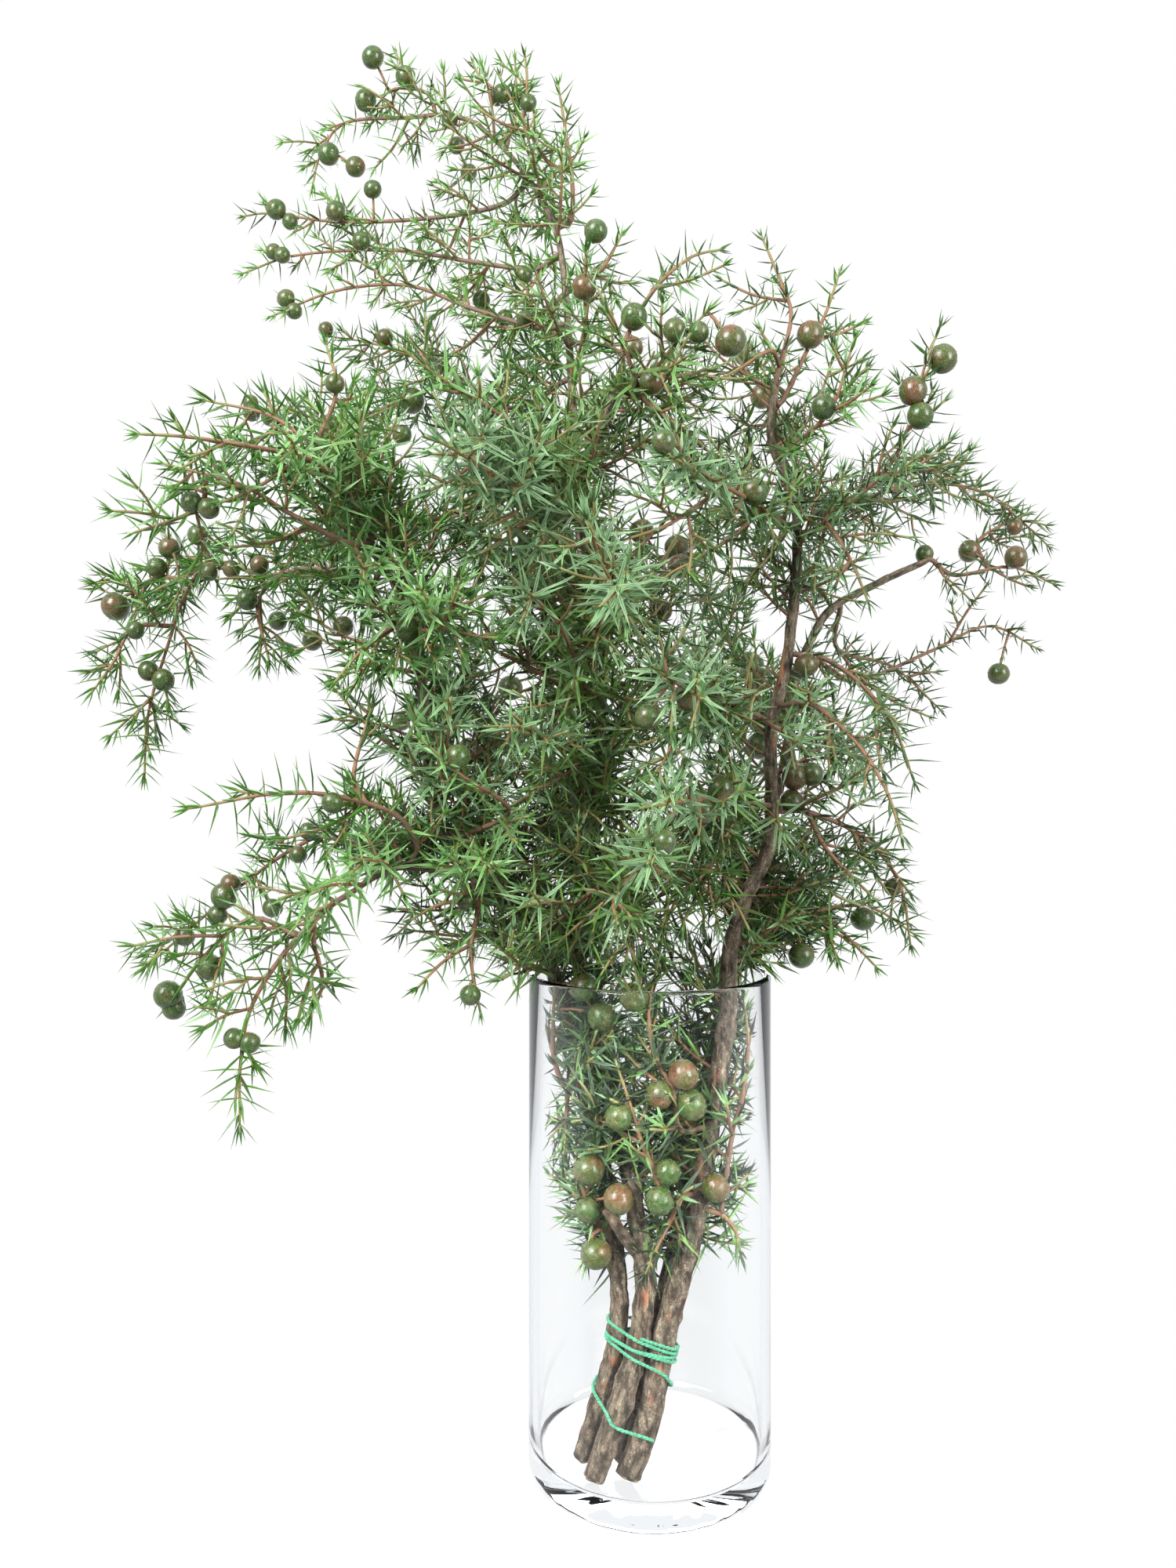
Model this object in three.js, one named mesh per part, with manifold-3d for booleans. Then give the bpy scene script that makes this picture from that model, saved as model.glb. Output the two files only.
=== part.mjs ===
// Juniper branches with green and ripening berries, tied with string, in a clear glass vase.
// Millimetres, +Z up. The origin is the middle of the vase's underside, and -Y is the front.
import * as THREE from "three";
import Module from "manifold-3d";

const wasm = await Module();
wasm.setup();

// Sizes that everything else is worked out from.
const VASE = { radius: 50, height: 207, wall: 3.5, floor: 12, footRound: 7, innerRound: 4, sides: 24 };
const GAP = 0.3; // left between two pieces that touch
const BARK = { sides: 7, step: 29 };
const STRING = {
  radius: 0.55, sides: 4, top: 68, bottom: 30, pitch: 2.1, turns: 4, looseTurns: 1.1,
  slope: -0.3, step: 30, slack: 1.07,
};
const TWIG = {
  root: 1.3, tip: 0.9, point: 2.5, bare: 5, rootBare: 8, firstFork: 7, forkBelow: 6,
  squareRoot: 3, rootBelowTip: 8,
};
// Side twigs: one at every other whorl, shorter towards the tip of the twig that they grow on. The last
// part of each, "lifted", turns to the parent's own heading.
const SIDE = {
  every: 2, length: 42, shorten: 0.65, vary: [0.7, 1.3], lean: 50, shortest: 12,
  straight: 0.5, curved: 0.4, lifted: 0.15, lookEvery: 2, stopBefore: 4,
};
const NEEDLE = {
  length: 16, vary: [0.84, 1.12], lean: 30, lower: 9, leanVaries: 14, aside: 24, foot: 1.8, radius: 0.5,
  whorlStep: 31, free: 2.6, shares: [1, 0.8, 0.6],
};
const CLEARING = { rounds: 12, extra: 0.2, aboveFloor: 4 };
const SEED = { first: 1009, step: 17 };
const BERRY = { stalk: 0.9, roundUp: 1.1, twigFrom: 11, nearby: 7 };
const MERGE = 0.08; // corners nearer than this are joined where solids were fused

// Each branch: its wood as routes from the cut end upward, with the radius at both ends. The later
// routes of a branch fork from its first.
const BRANCHES = {
  branch_right: [
    {
      from: 5.0, to: 1.3,
      route: [
        [-8, -27, 18], [-1, -27, 38], [4, -25, 64], [11, -24, 90], [16, -23, 109], [24, -20, 153],
        [31, -16, 193], [32, -14, 217], [39, -12, 240], [49, -10, 263], [50, -6, 308], [57, -4, 339],
        [62, 2, 389], [58, 4, 411], [51, 4, 431], [54, 6, 455],
      ],
    },
  ],
  branch_back: [
    {
      from: 4.0, to: 1.4,
      route: [
        [-13, -14, 10], [-6, -16, 35], [-1, -17, 62], [8, -9, 86], [17, 0, 122], [26, 8, 159],
        [37, 16, 201], [47, 22, 237], [57, 26, 278], [64, 29, 311], [66, 31, 330], [80, 35, 360],
        [102, 41, 374], [129, 50, 387],
      ],
    },
  ],
  branch_middle: [
    {
      from: 4.4, to: 1.3,
      route: [
        [-21, -29, 18], [-13, -29, 42], [-6, -26, 64], [-3, -24, 86], [-7, -18, 118], [-14, -12, 151],
        [-23, -8, 182], [-29, -4, 214], [-28, -2, 239], [-23, 0, 265], [-20, 2, 318], [-20, -2, 363],
        [-27, -6, 385], [-26, -8, 410], [-19, -10, 432], [-12, -12, 451],
      ],
    },
    {
      from: 2.6, to: 1.0,
      route: [
        [-20, 2, 331], [-26, 20, 366], [-30, 32, 410], [-33, 40, 468], [-38, 50, 529], [-48, 58, 558],
        [-62, 66, 581], [-77, 74, 599],
      ],
    },
    { from: 2.4, to: 2.2, route: [[-6, -21, 99], [-12, -26, 108], [-18, -29, 119]] },
  ],
  branch_left: [
    {
      from: 3.9, to: 1.5,
      route: [
        [-26, -14, 17], [-20, -19, 39], [-14, -21, 62], [-13, -20, 84], [-17, -12, 116],
        [-23, -8, 147], [-29, -8, 173], [-36, -10, 199], [-48, -14, 228], [-60, -18, 245],
        [-78, -22, 261], [-87, -24, 282], [-90, -26, 316], [-94, -26, 338], [-101, -26, 362],
        [-112, -26, 382], [-120, -26, 398], [-125, -26, 406],
      ],
    },
    {
      from: 2.0, to: 1.0,
      route: [
        [-63, -18, 244], [-77, -28, 250], [-96, -36, 253], [-106, -40, 250], [-115, -44, 244],
      ],
    },
  ],
};

// Each leafy spray: the branch that it grows on, the points that its twigs pass through, and its
// berries as place and diameter. The first twig starts at the nearest bark and the others fork from it.
const SPRAYS = {
  crown_tip: {
    on: "branch_middle",
    twigs: [
      [[-94, 80, 608], [-113, 86, 610], [-145, 94, 612], [-158, 97, 599], [-163, 98, 581]],
      [[-104, 84, 621], [-121, 88, 625], [-130, 90, 617]],
    ],
    berries: [
      [-130, 84, 638, 11], [-114, 83, 633, 10], [-136, 86, 620, 11], [-151, 93, 595, 11],
      [-140, 92, 589, 10], [-93, 76, 602, 8],
    ],
  },
  crown_up: {
    on: "branch_middle",
    twigs: [
      [[-56, 64, 598], [-54, 62, 613], [-55, 60, 626]],
      [[-66, 70, 612], [-77, 76, 624], [-81, 80, 633]],
    ],
    berries: [[-66, 66, 610, 9], [-72, 66, 607, 8], [-53, 59, 602, 8]],
  },
  crown_side: {
    on: "branch_middle",
    twigs: [
      [[-33, 50, 543], [-33, 46, 563], [-39, 42, 601]],
      [[-44, 46, 568], [-56, 44, 588], [-64, 44, 602]],
    ],
    berries: [],
  },
  crown_low_a: {
    on: "branch_middle",
    twigs: [
      [[-66, 64, 557], [-95, 74, 556], [-144, 86, 559], [-183, 98, 569], [-198, 101, 569]],
    ],
    berries: [[-129, 78, 571, 9], [-179, 92, 568, 10], [-148, 83, 564, 10], [-175, 90, 557, 8]],
  },
  crown_low_b: {
    on: "branch_middle",
    twigs: [
      [[-51, 58, 524], [-81, 68, 532], [-119, 76, 541], [-167, 86, 543], [-196, 93, 537]],
    ],
    berries: [[-180, 85, 548, 8], [-174, 84, 542, 8], [-134, 75, 545, 9], [-56, 56, 518, 8]],
  },
  crown_low_c: {
    on: "branch_middle",
    twigs: [
      [[-47, 46, 492], [-79, 56, 505], [-110, 64, 519], [-145, 70, 519], [-178, 76, 509]],
    ],
    berries: [[-170, 70, 518, 9], [-165, 70, 508, 8], [-54, 45, 496, 8]],
  },
  crown_back: {
    on: "branch_middle",
    twigs: [
      [[-63, 70, 501], [-82, 92, 533], [-85, 104, 562], [-85, 112, 592]],
    ],
    berries: [[-92, 108, 608, 9], [-87, 108, 600, 9], [-77, 81, 519, 9], [-65, 72, 507, 8]],
  },
  upper_mid_a: {
    on: "branch_middle",
    twigs: [
      [[-26, 36, 484], [-27, 20, 499], [-26, 12, 519]],
      [[-19, 14, 506], [-11, 16, 521]],
    ],
    berries: [[-20, 8, 520, 10], [-27, 15, 498, 11]],
  },
  upper_mid_b: {
    on: "branch_middle",
    twigs: [
      [[-11, -14, 463], [1, -16, 484], [16, -14, 498], [29, -10, 503]],
    ],
    berries: [[-7, -19, 472, 11], [-3, -18, 459, 9]],
  },
  upper_mid_c: {
    on: "branch_middle",
    twigs: [
      [[-7, -30, 438], [7, -48, 450], [19, -56, 460]],
      [[-8, -38, 443], [-14, -46, 456], [-22, -52, 470]],
      [[2, -38, 428], [14, -42, 418], [26, -42, 406]],
    ],
    berries: [[6, -54, 454, 9], [17, -56, 450, 8], [27, -58, 448, 12], [-1, -40, 439, 10]],
  },
  upper_right_a: {
    on: "branch_right",
    twigs: [
      [[60, 6, 481], [57, 8, 495], [48, 10, 518]],
      [[50, -4, 464], [38, -8, 456], [24, -12, 447]],
    ],
    berries: [],
  },
  upper_right_b: {
    on: "branch_right",
    twigs: [
      [[68, 14, 470], [77, 18, 488], [84, 22, 508]],
    ],
    berries: [[69, 11, 476, 12]],
  },
  upper_right_c: {
    on: "branch_right",
    twigs: [
      [[61, -12, 425], [71, -26, 434], [79, -30, 460]],
    ],
    berries: [[67, -28, 433, 10]],
  },
  upper_right_back: {
    on: "branch_right",
    twigs: [
      [[63, 44, 434], [64, 76, 469], [56, 96, 503]],
    ],
    berries: [[48, 90, 496, 12], [53, 75, 471, 12]],
  },
  upper_left_front: {
    on: "branch_middle",
    twigs: [
      [[-41, -38, 409], [-57, -66, 418], [-77, -84, 426], [-91, -88, 436]],
      [[-52, -34, 398], [-72, -28, 392], [-92, -26, 386]],
    ],
    berries: [],
  },
  upper_left_back: {
    on: "branch_middle",
    twigs: [
      [[-62, 66, 462], [-95, 88, 488], [-132, 104, 506], [-157, 112, 513]],
      [[-107, 94, 478], [-130, 100, 472], [-152, 104, 462]],
    ],
    berries: [[-162, 108, 521, 8], [-126, 99, 512, 9], [-112, 88, 472, 13]],
  },
  left_top: {
    on: "branch_left",
    twigs: [
      [[-136, -16, 421], [-156, -8, 436], [-184, -2, 444]],
      [[-126, -20, 442], [-131, -16, 462]],
    ],
    berries: [[-126, -23, 444, 8]],
  },
  left_mid: {
    on: "branch_left",
    twigs: [
      [[-128, -52, 405], [-142, -66, 406], [-167, -74, 408], [-184, -78, 408]],
    ],
    berries: [],
  },
  left_long: {
    on: "branch_left",
    twigs: [
      [[-117, -48, 376], [-136, -58, 385], [-152, -62, 394], [-182, -58, 403]],
      [[-172, -50, 388], [-200, -40, 381]],
    ],
    berries: [[-173, -53, 390, 8], [-166, -54, 387, 8]],
  },
  left_fork: {
    on: "branch_left",
    twigs: [
      [
        [-116, -12, 365], [-140, 2, 375], [-163, 12, 374], [-187, 20, 381], [-200, 24, 370],
        [-210, 26, 344], [-218, 26, 316], [-219, 24, 288],
      ],
      [[-217, 34, 377], [-234, 42, 370], [-249, 46, 374]],
      [[-223, 22, 353], [-229, 16, 338], [-237, 12, 324]],
      [[-164, 4, 361], [-157, -4, 335]],
    ],
    berries: [
      [-238, 38, 363, 13], [-171, 0, 363, 9], [-219, 22, 335, 9], [-209, 22, 330, 10],
      [-210, 30, 389, 10], [-216, 30, 381, 9], [-193, 16, 392, 9], [-178, 14, 377, 8],
      [-165, 10, 382, 8], [-220, 18, 351, 8], [-188, 18, 372, 8],
    ],
  },
  left_drop: {
    on: "branch_left",
    twigs: [
      [[-98, -44, 345], [-110, -54, 334], [-119, -58, 322]],
      [[-80, -62, 342], [-69, -84, 357]],
    ],
    berries: [[-93, -48, 343, 10]],
  },
  left_back: {
    on: "branch_left",
    twigs: [
      [[-119, 14, 406], [-136, 44, 434], [-159, 70, 460], [-187, 88, 469]],
      [[-145, 40, 391], [-167, 56, 361]],
      [[-104, 14, 398], [-86, 28, 402], [-66, 38, 412]],
    ],
    berries: [
      [-193, 84, 473, 8], [-191, 84, 464, 9], [-181, 80, 457, 9], [-145, 57, 452, 9],
      [-109, 40, 442, 9], [-137, 48, 357, 10], [-152, 52, 351, 10], [-168, 52, 360, 9],
    ],
  },
  low_left_main: {
    on: "branch_left",
    twigs: [
      [[-124, -46, 238], [-139, -50, 222], [-151, -52, 202], [-155, -52, 182], [-156, -50, 157]],
      [[-153, -44, 234], [-172, -38, 220], [-186, -34, 202]],
      [[-130, -42, 224], [-128, -36, 208], [-134, -32, 194]],
    ],
    berries: [
      [-166, -41, 210, 10], [-187, -38, 204, 11], [-185, -38, 196, 9], [-157, -56, 191, 8],
      [-149, -56, 189, 8],
    ],
  },
  low_left_top: {
    on: "branch_left",
    twigs: [
      [[-91, -40, 262], [-100, -52, 275], [-132, -60, 282], [-171, -64, 276]],
      [[-114, -46, 289], [-108, -40, 316]],
    ],
    berries: [[-119, -61, 278, 8]],
  },
  low_left_mid: {
    on: "branch_left",
    twigs: [
      [
        [-94, -2, 263], [-127, 16, 266], [-152, 24, 258], [-180, 30, 239], [-209, 34, 215],
        [-223, 36, 203],
      ],
    ],
    berries: [
      [-149, 19, 269, 8], [-150, 20, 251, 8], [-183, 26, 242, 9], [-185, 27, 236, 12],
      [-187, 27, 225, 9], [-163, 24, 231, 9], [-203, 29, 218, 9],
    ],
  },
  low_left_drop: {
    on: "branch_left",
    twigs: [
      [[-68, -36, 237], [-70, -44, 220], [-66, -48, 199]],
      [[-80, -46, 240], [-92, -50, 234]],
    ],
    berries: [[-70, -51, 206, 8], [-72, -40, 240, 8]],
  },
  right_high: {
    on: "branch_right",
    twigs: [
      [[78, -6, 398], [95, -10, 412], [104, -12, 428], [111, -14, 455], [117, -14, 470]],
      [[103, -20, 410], [118, -26, 421]],
      [[74, -16, 386], [80, -22, 372], [86, -24, 356]],
    ],
    berries: [[120, -18, 455, 12], [105, -17, 443, 12], [108, -17, 433, 11]],
  },
  right_long: {
    on: "branch_right",
    twigs: [
      [[89, 30, 410], [131, 56, 424], [165, 78, 425], [194, 97, 412], [206, 103, 404]],
    ],
    berries: [],
  },
  right_far: {
    on: "branch_back",
    twigs: [
      [[145, 58, 382], [175, 70, 388], [200, 79, 381]],
      [[162, 76, 402], [190, 90, 418]],
    ],
    berries: [[156, 72, 396, 11], [176, 66, 392, 11], [183, 82, 408, 8], [123, 54, 396, 9]],
  },
  right_thin: {
    on: "branch_back",
    twigs: [
      [[96, 48, 332], [137, 70, 348], [170, 86, 362], [199, 98, 352]],
    ],
    berries: [[175, 87, 339, 11]],
  },
  right_arch: {
    on: "branch_right",
    twigs: [
      [[71, -6, 337], [85, -8, 327], [99, -8, 310], [109, -6, 285]],
    ],
    berries: [[63, -10, 330, 10]],
  },
  right_arch_front: {
    on: "branch_right",
    twigs: [
      [[64, -26, 316], [77, -44, 300], [86, -52, 282], [91, -54, 265]],
    ],
    berries: [],
  },
  right_low: {
    on: "branch_right",
    twigs: [
      [[67, -4, 273], [91, 4, 262], [107, 10, 242], [112, 12, 216]],
      [[70, -14, 260], [80, -20, 248], [90, -22, 238]],
    ],
    berries: [[59, -8, 288, 11], [66, -8, 289, 10], [54, -8, 278, 10], [101, 6, 240, 8]],
  },
  right_low_spray: {
    on: "branch_right",
    twigs: [
      [[60, 6, 230], [85, 22, 232], [103, 34, 229], [122, 42, 217]],
      [[82, 14, 223], [97, 8, 207]],
    ],
    berries: [[95, 27, 226, 11], [64, 4, 213, 11]],
  },
  right_back: {
    on: "branch_back",
    twigs: [
      [[92, 64, 348], [126, 96, 343], [156, 118, 323]],
    ],
    berries: [],
  },
  front_crest: {
    on: "branch_middle",
    twigs: [
      [[-26, -34, 322], [-36, -62, 343], [-53, -84, 357]],
      [[-40, -32, 326], [-56, -36, 334], [-74, -40, 342]],
    ],
    berries: [],
  },
  front_left: {
    on: "branch_middle",
    twigs: [
      [[-30, -32, 290], [-43, -62, 304], [-62, -86, 305]],
    ],
    berries: [],
  },
  front_low_left: {
    on: "branch_left",
    twigs: [
      [[-55, -50, 275], [-72, -70, 289], [-84, -80, 301]],
    ],
    berries: [[-70, -74, 296, 9]],
  },
  front_star: {
    on: "branch_middle",
    twigs: [
      [[-18, -44, 353], [-15, -84, 350], [-17, -122, 348]],
      [[-21, -70, 364], [-26, -96, 375]],
    ],
    berries: [],
  },
  front_star_low: {
    on: "branch_middle",
    twigs: [
      [[-13, -36, 249], [-4, -76, 257], [-4, -108, 265]],
      [[-16, -66, 243], [-15, -84, 236]],
      [[-16, -44, 240], [-8, -48, 230], [2, -54, 221]],
      [[-24, -42, 244], [-36, -46, 234], [-48, -48, 222]],
    ],
    berries: [[4, -110, 268, 8]],
  },
  front_right: {
    on: "branch_right",
    twigs: [
      [[29, -40, 279], [10, -78, 279], [-9, -106, 277]],
      [[24, -46, 266], [20, -48, 248], [24, -50, 230]],
      [[16, -52, 266], [8, -50, 246], [12, -46, 226]],
    ],
    berries: [[25, -49, 285, 10], [16, -66, 274, 9]],
  },
  front_right_up: {
    on: "branch_right",
    twigs: [
      [[32, -40, 315], [10, -78, 318], [-5, -104, 324]],
      [[20, -54, 308], [4, -58, 303], [-10, -58, 298]],
    ],
    berries: [[10, -76, 315, 9], [-5, -89, 308, 9]],
  },
  front_high: {
    on: "branch_right",
    twigs: [
      [[38, -36, 394], [18, -72, 394], [0, -104, 394]],
      [[16, -60, 388], [2, -66, 378], [-14, -70, 372]],
    ],
    berries: [[38, -40, 397, 11], [-1, -106, 399, 8]],
  },
  front_upper_left: {
    on: "branch_middle",
    twigs: [
      [[-43, -44, 389], [-61, -84, 394], [-74, -112, 396]],
    ],
    berries: [],
  },
  rear_right: {
    on: "branch_back",
    twigs: [
      [[58, 70, 322], [42, 112, 365], [25, 142, 411]],
    ],
    berries: [[55, 86, 344, 13], [58, 77, 336, 13], [53, 66, 310, 13], [55, 66, 303, 13]],
  },
  rear_crest: {
    on: "branch_middle",
    twigs: [
      [[-29, 56, 372], [-45, 104, 411], [-63, 146, 454]],
    ],
    berries: [
      [-64, 112, 418, 12], [-75, 127, 425, 10], [-36, 93, 409, 12], [-34, 55, 372, 12],
      [-18, 69, 390, 10],
    ],
  },
  rear_left: {
    on: "branch_middle",
    twigs: [
      [[-43, 50, 278], [-76, 100, 312], [-109, 140, 343]],
      [[-34, 44, 262], [-26, 48, 244], [-22, 54, 228]],
    ],
    berries: [[-124, 134, 318, 10], [-64, 98, 333, 13], [-84, 91, 302, 12]],
  },
  rear_mid: {
    on: "branch_middle",
    twigs: [
      [[3, 44, 377], [32, 86, 407], [55, 118, 438]],
    ],
    berries: [[-1, 51, 401, 12], [14, 62, 400, 12], [17, 57, 386, 12], [7, 40, 363, 11]],
  },
  vase_front: {
    on: "branch_right",
    twigs: [
      [[10, -34, 151], [7, -36, 167], [0, -37, 181], [-2, -37, 199], [2, -36, 218]],
    ],
    berries: [[-11, -36, 203, 12], [12, -36, 173, 12], [2, -37, 165, 11], [17, -35, 161, 12]],
  },
  vase_front_low: {
    on: "branch_right",
    twigs: [
      [[5, -34, 125], [-4, -36, 145], [-9, -36, 161], [-15, -37, 179]],
      [[1, -36, 106], [-3, -37, 97]],
    ],
    berries: [[-15, -36, 156, 11], [9, -37, 137, 10], [2, -38, 125, 11]],
  },
  vase_right: {
    on: "branch_right",
    twigs: [
      [[26, -26, 116], [32, -25, 109], [34, -25, 99]],
      [[32, -22, 148], [36, -20, 160], [39, -16, 180], [38, -10, 198]],
    ],
    berries: [[20, -30, 128, 11]],
  },
  vase_left: {
    on: "branch_left",
    twigs: [
      [[-34, -11, 160], [-39, -13, 172], [-39, -17, 190], [-38, -20, 206]],
      [[-35, -4, 133], [-37, -4, 122]],
    ],
    berries: [[-27, -27, 205, 12], [-20, -24, 192, 12]],
  },
  vase_left_low: {
    on: "branch_left",
    twigs: [
      [[-23, -28, 109], [-26, -28, 98]],
      [[-28, -25, 127], [-30, -25, 142]],
    ],
    berries: [[-24, -30, 134, 12], [-15, -32, 122, 12], [-25, -30, 118, 10], [-22, -31, 102, 12]],
  },
  vase_back: {
    on: "branch_back",
    twigs: [
      [[16, 26, 134], [9, 33, 153], [2, 35, 180], [-4, 35, 202], [-6, 30, 222]],
      [[20, 30, 150], [25, 33, 168], [22, 34, 186], [12, 36, 206], [8, 32, 222]],
    ],
    berries: [],
  },
};

const COLOURS = {
  glass: { color: 0xdfeaf0, roughness: 0.05, metalness: 0 },
  bark: { color: 0x6b5847, roughness: 0.85, metalness: 0 },
  foliage: { color: 0x4f7a45, roughness: 0.55, metalness: 0 },
  string: { color: 0x3fb878, roughness: 0.6, metalness: 0 },
};

const UP = new THREE.Vector3(0, 0, 1);
const SIDEWAYS = new THREE.Vector3(1, 0, 0);
const vector = ([x, y, z]) => new THREE.Vector3(x, y, z);
const along = (a, b, t) => a.clone().lerp(b, t);
const radians = THREE.MathUtils.degToRad;
const within = ([low, high], share) => low + (high - low) * share;

// Seeded draws between 0 and 1, so that every run gives the same plant.
function seeded(seed) {
  let state = seed;
  return () => {
    state = (state * 16807) % 2147483647;
    return state / 2147483647;
  };
}

// A smooth route through hand-placed points, measured along its length. Wood and twigs are made of
// straight runs between their rings or whorls, so that what grows from them meets them.
class Route {
  constructor(points) {
    const curve = new THREE.CatmullRomCurve3(points, false, "catmullrom", 0.5);
    this.measure(curve.getPoints(12 * (points.length - 1)));
  }

  static ofWood(points) {
    const route = new Route(points);
    const count = Math.round(route.length / BARK.step);
    route.measure(Array.from({ length: count + 1 }, (_, k) => route.at((route.length * k) / count)));
    return route;
  }

  static ofTwig(points, bare) {
    const route = new Route(points);
    const leafy = route.length - bare;
    const count = Math.max(1, Math.round(leafy / NEEDLE.whorlStep));
    const whorls = Array.from({ length: count }, (_, k) =>
      route.at(route.length - NEEDLE.foot - (leafy * (count - 1 - k)) / count));
    route.measure([route.at(0), ...whorls, route.at(route.length)]);
    route.stations = route.marks.slice(1, -1);
    return route;
  }

  measure(points) {
    this.points = points;
    this.marks = [0];
    for (let i = 1; i < points.length; i++) {
      this.marks.push(this.marks[i - 1] + points[i].distanceTo(points[i - 1]));
    }
    this.length = this.marks.at(-1);
  }

  at(distance) {
    let i = 1;
    while (i < this.marks.length - 1 && this.marks[i] < distance) i++;
    const span = this.marks[i] - this.marks[i - 1];
    return along(this.points[i - 1], this.points[i], (distance - this.marks[i - 1]) / span);
  }

  heading(distance) {
    const near = Math.max(0, distance - 1);
    const far = Math.min(this.length, distance + 1);
    return this.at(far).sub(this.at(near)).normalize();
  }

  nearest(point) {
    let best = { distance: Infinity };
    for (let s = 0; s <= this.length; s += 1) {
      const distance = this.at(s).distanceTo(point);
      if (distance < best.distance) best = { distance, s };
    }
    return best;
  }

  atHeight(z) {
    let s = 0;
    while (s < this.length && this.at(s).z < z) s += 0.5;
    return s;
  }
}

// Two directions square to a heading, the same for the same heading.
function sideways(heading) {
  const reference = Math.abs(heading.z) > 0.9 ? SIDEWAYS : UP;
  const across = new THREE.Vector3().crossVectors(heading, reference).normalize();
  return { across, upward: new THREE.Vector3().crossVectors(across, heading) };
}

// The same two directions carried along a route without twisting.
function carried(across, heading) {
  const kept = across.clone().addScaledVector(heading, -across.dot(heading)).normalize();
  return { across: kept, upward: new THREE.Vector3().crossVectors(kept, heading) };
}

function solid(vertices, triangles) {
  const vertProperties = new Float32Array(vertices.flatMap((v) => [v.x, v.y, v.z]));
  const triVerts = new Uint32Array(triangles.flat());
  return new wasm.Manifold(new wasm.Mesh({ numProp: 3, vertProperties, triVerts }));
}

// A closed skin over rings of equal count, flat at both ends.
function skinOver(rings) {
  const sides = rings[0].length;
  const skin = { vertices: [], triangles: [] };
  const loops = rings.map((points) => addRing(skin, points));
  for (let k = 1; k < loops.length; k++) join(skin, loops[k - 1], loops[k]);
  const [first, last] = [loops[0], loops.at(-1)];
  for (let side = 1; side < sides - 1; side++) {
    skin.triangles.push([first[0], first[side + 1], first[side]], [last[0], last[side], last[side + 1]]);
  }
  return solid(skin.vertices, skin.triangles);
}

function ring(centre, frame, radius, sides, turn = 0) {
  return Array.from({ length: sides }, (_, side) => {
    const angle = turn + (2 * Math.PI * side) / sides;
    return centre.clone()
      .addScaledVector(frame.across, radius * Math.cos(angle))
      .addScaledVector(frame.upward, -radius * Math.sin(angle));
  });
}

// Closed tube along a route, its radius given by the distance along it.
function tube(route, radiusAt, sides) {
  let frame = sideways(route.heading(0));
  const rings = route.marks.map((s) => {
    frame = carried(frame.across, route.heading(s));
    return ring(route.at(s), frame, radiusAt(s), sides);
  });
  return skinOver(rings);
}

// Room already taken: each entry is a rod with round ends, owned by one node.
const taken = [];

function claim(owner, a, b, radius, tags = {}) {
  taken.push({ owner, a, b, radius, ...tags });
}

function claimRoute(owner, route, radiusAt) {
  route.points.slice(1).forEach((point, k) => {
    claim(owner, route.points[k], point, radiusAt(route.marks[k]), { route });
  });
}

// Nearest approach of two straight rods' centre lines.
function between(a, b, c, d) {
  const u = b.clone().sub(a);
  const v = d.clone().sub(c);
  const w = a.clone().sub(c);
  const [uu, uv, vv, uw, vw] = [u.dot(u) || 1e-9, u.dot(v), v.dot(v) || 1e-9, u.dot(w), v.dot(w)];
  const clamp = (x) => Math.min(1, Math.max(0, x));
  const spread = uu * vv - uv * uv;
  let s = spread > 1e-9 ? clamp((uv * vw - vv * uw) / spread) : 0;
  const t = clamp((uv * s + vw) / vv);
  s = clamp((uv * t - uw) / uu);
  const onFirst = a.clone().addScaledVector(u, s);
  const onSecond = c.clone().addScaledVector(v, t);
  return { distance: onFirst.distanceTo(onSecond), apart: onFirst.sub(onSecond) };
}

// The least room left between a rod and what counts among the taken rods.
function room(a, b, radius, counts) {
  let least = { gap: Infinity };
  for (const rod of taken) {
    if (!counts(rod)) continue;
    const near = between(a, b, rod.a, rod.b);
    const gap = near.distance - radius - rod.radius;
    if (gap < least.gap) least = { gap, apart: near.apart };
  }
  return least;
}

// How far a point is inside the room that the vase leaves: negative where it meets the glass.
function clearOfVase(point, radius) {
  const reach = Math.hypot(point.x, point.y);
  if (point.z > VASE.height + radius + GAP) return 1;
  const inside = VASE.radius - VASE.wall - GAP - radius - reach;
  const outside = reach - VASE.radius - GAP - radius;
  if (outside > 0) return outside;
  return Math.min(inside, point.z - VASE.floor - GAP - radius);
}

function rodClearOfVase(a, b, radius) {
  for (let t = 0; t <= 1; t += 0.1) {
    if (clearOfVase(along(a, b, t), radius) < 0) return false;
  }
  return true;
}

// A point moved out of the glass and out of what other nodes have taken.
function moveClear(point, radius, owner) {
  const moved = point.clone();
  for (let round = 0; round < CLEARING.rounds; round++) {
    const near = room(moved, moved, radius, (rod) => rod.owner !== owner);
    if (near.gap < 2 * GAP && near.apart.length() > 0) {
      moved.addScaledVector(near.apart.normalize(), 2 * GAP - near.gap + CLEARING.extra);
    }
    const reach = Math.hypot(moved.x, moved.y);
    if (clearOfVase(moved, radius) < 0 && moved.z > VASE.floor + CLEARING.aboveFloor) {
      const inner = VASE.radius - VASE.wall - 2 * GAP - radius;
      const outer = VASE.radius + 2 * GAP + radius;
      const goal = reach < VASE.radius - VASE.wall / 2 ? inner : outer;
      moved.x *= goal / reach;
      moved.y *= goal / reach;
    } else if (near.gap >= 2 * GAP) {
      break;
    }
  }
  return moved;
}

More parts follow.
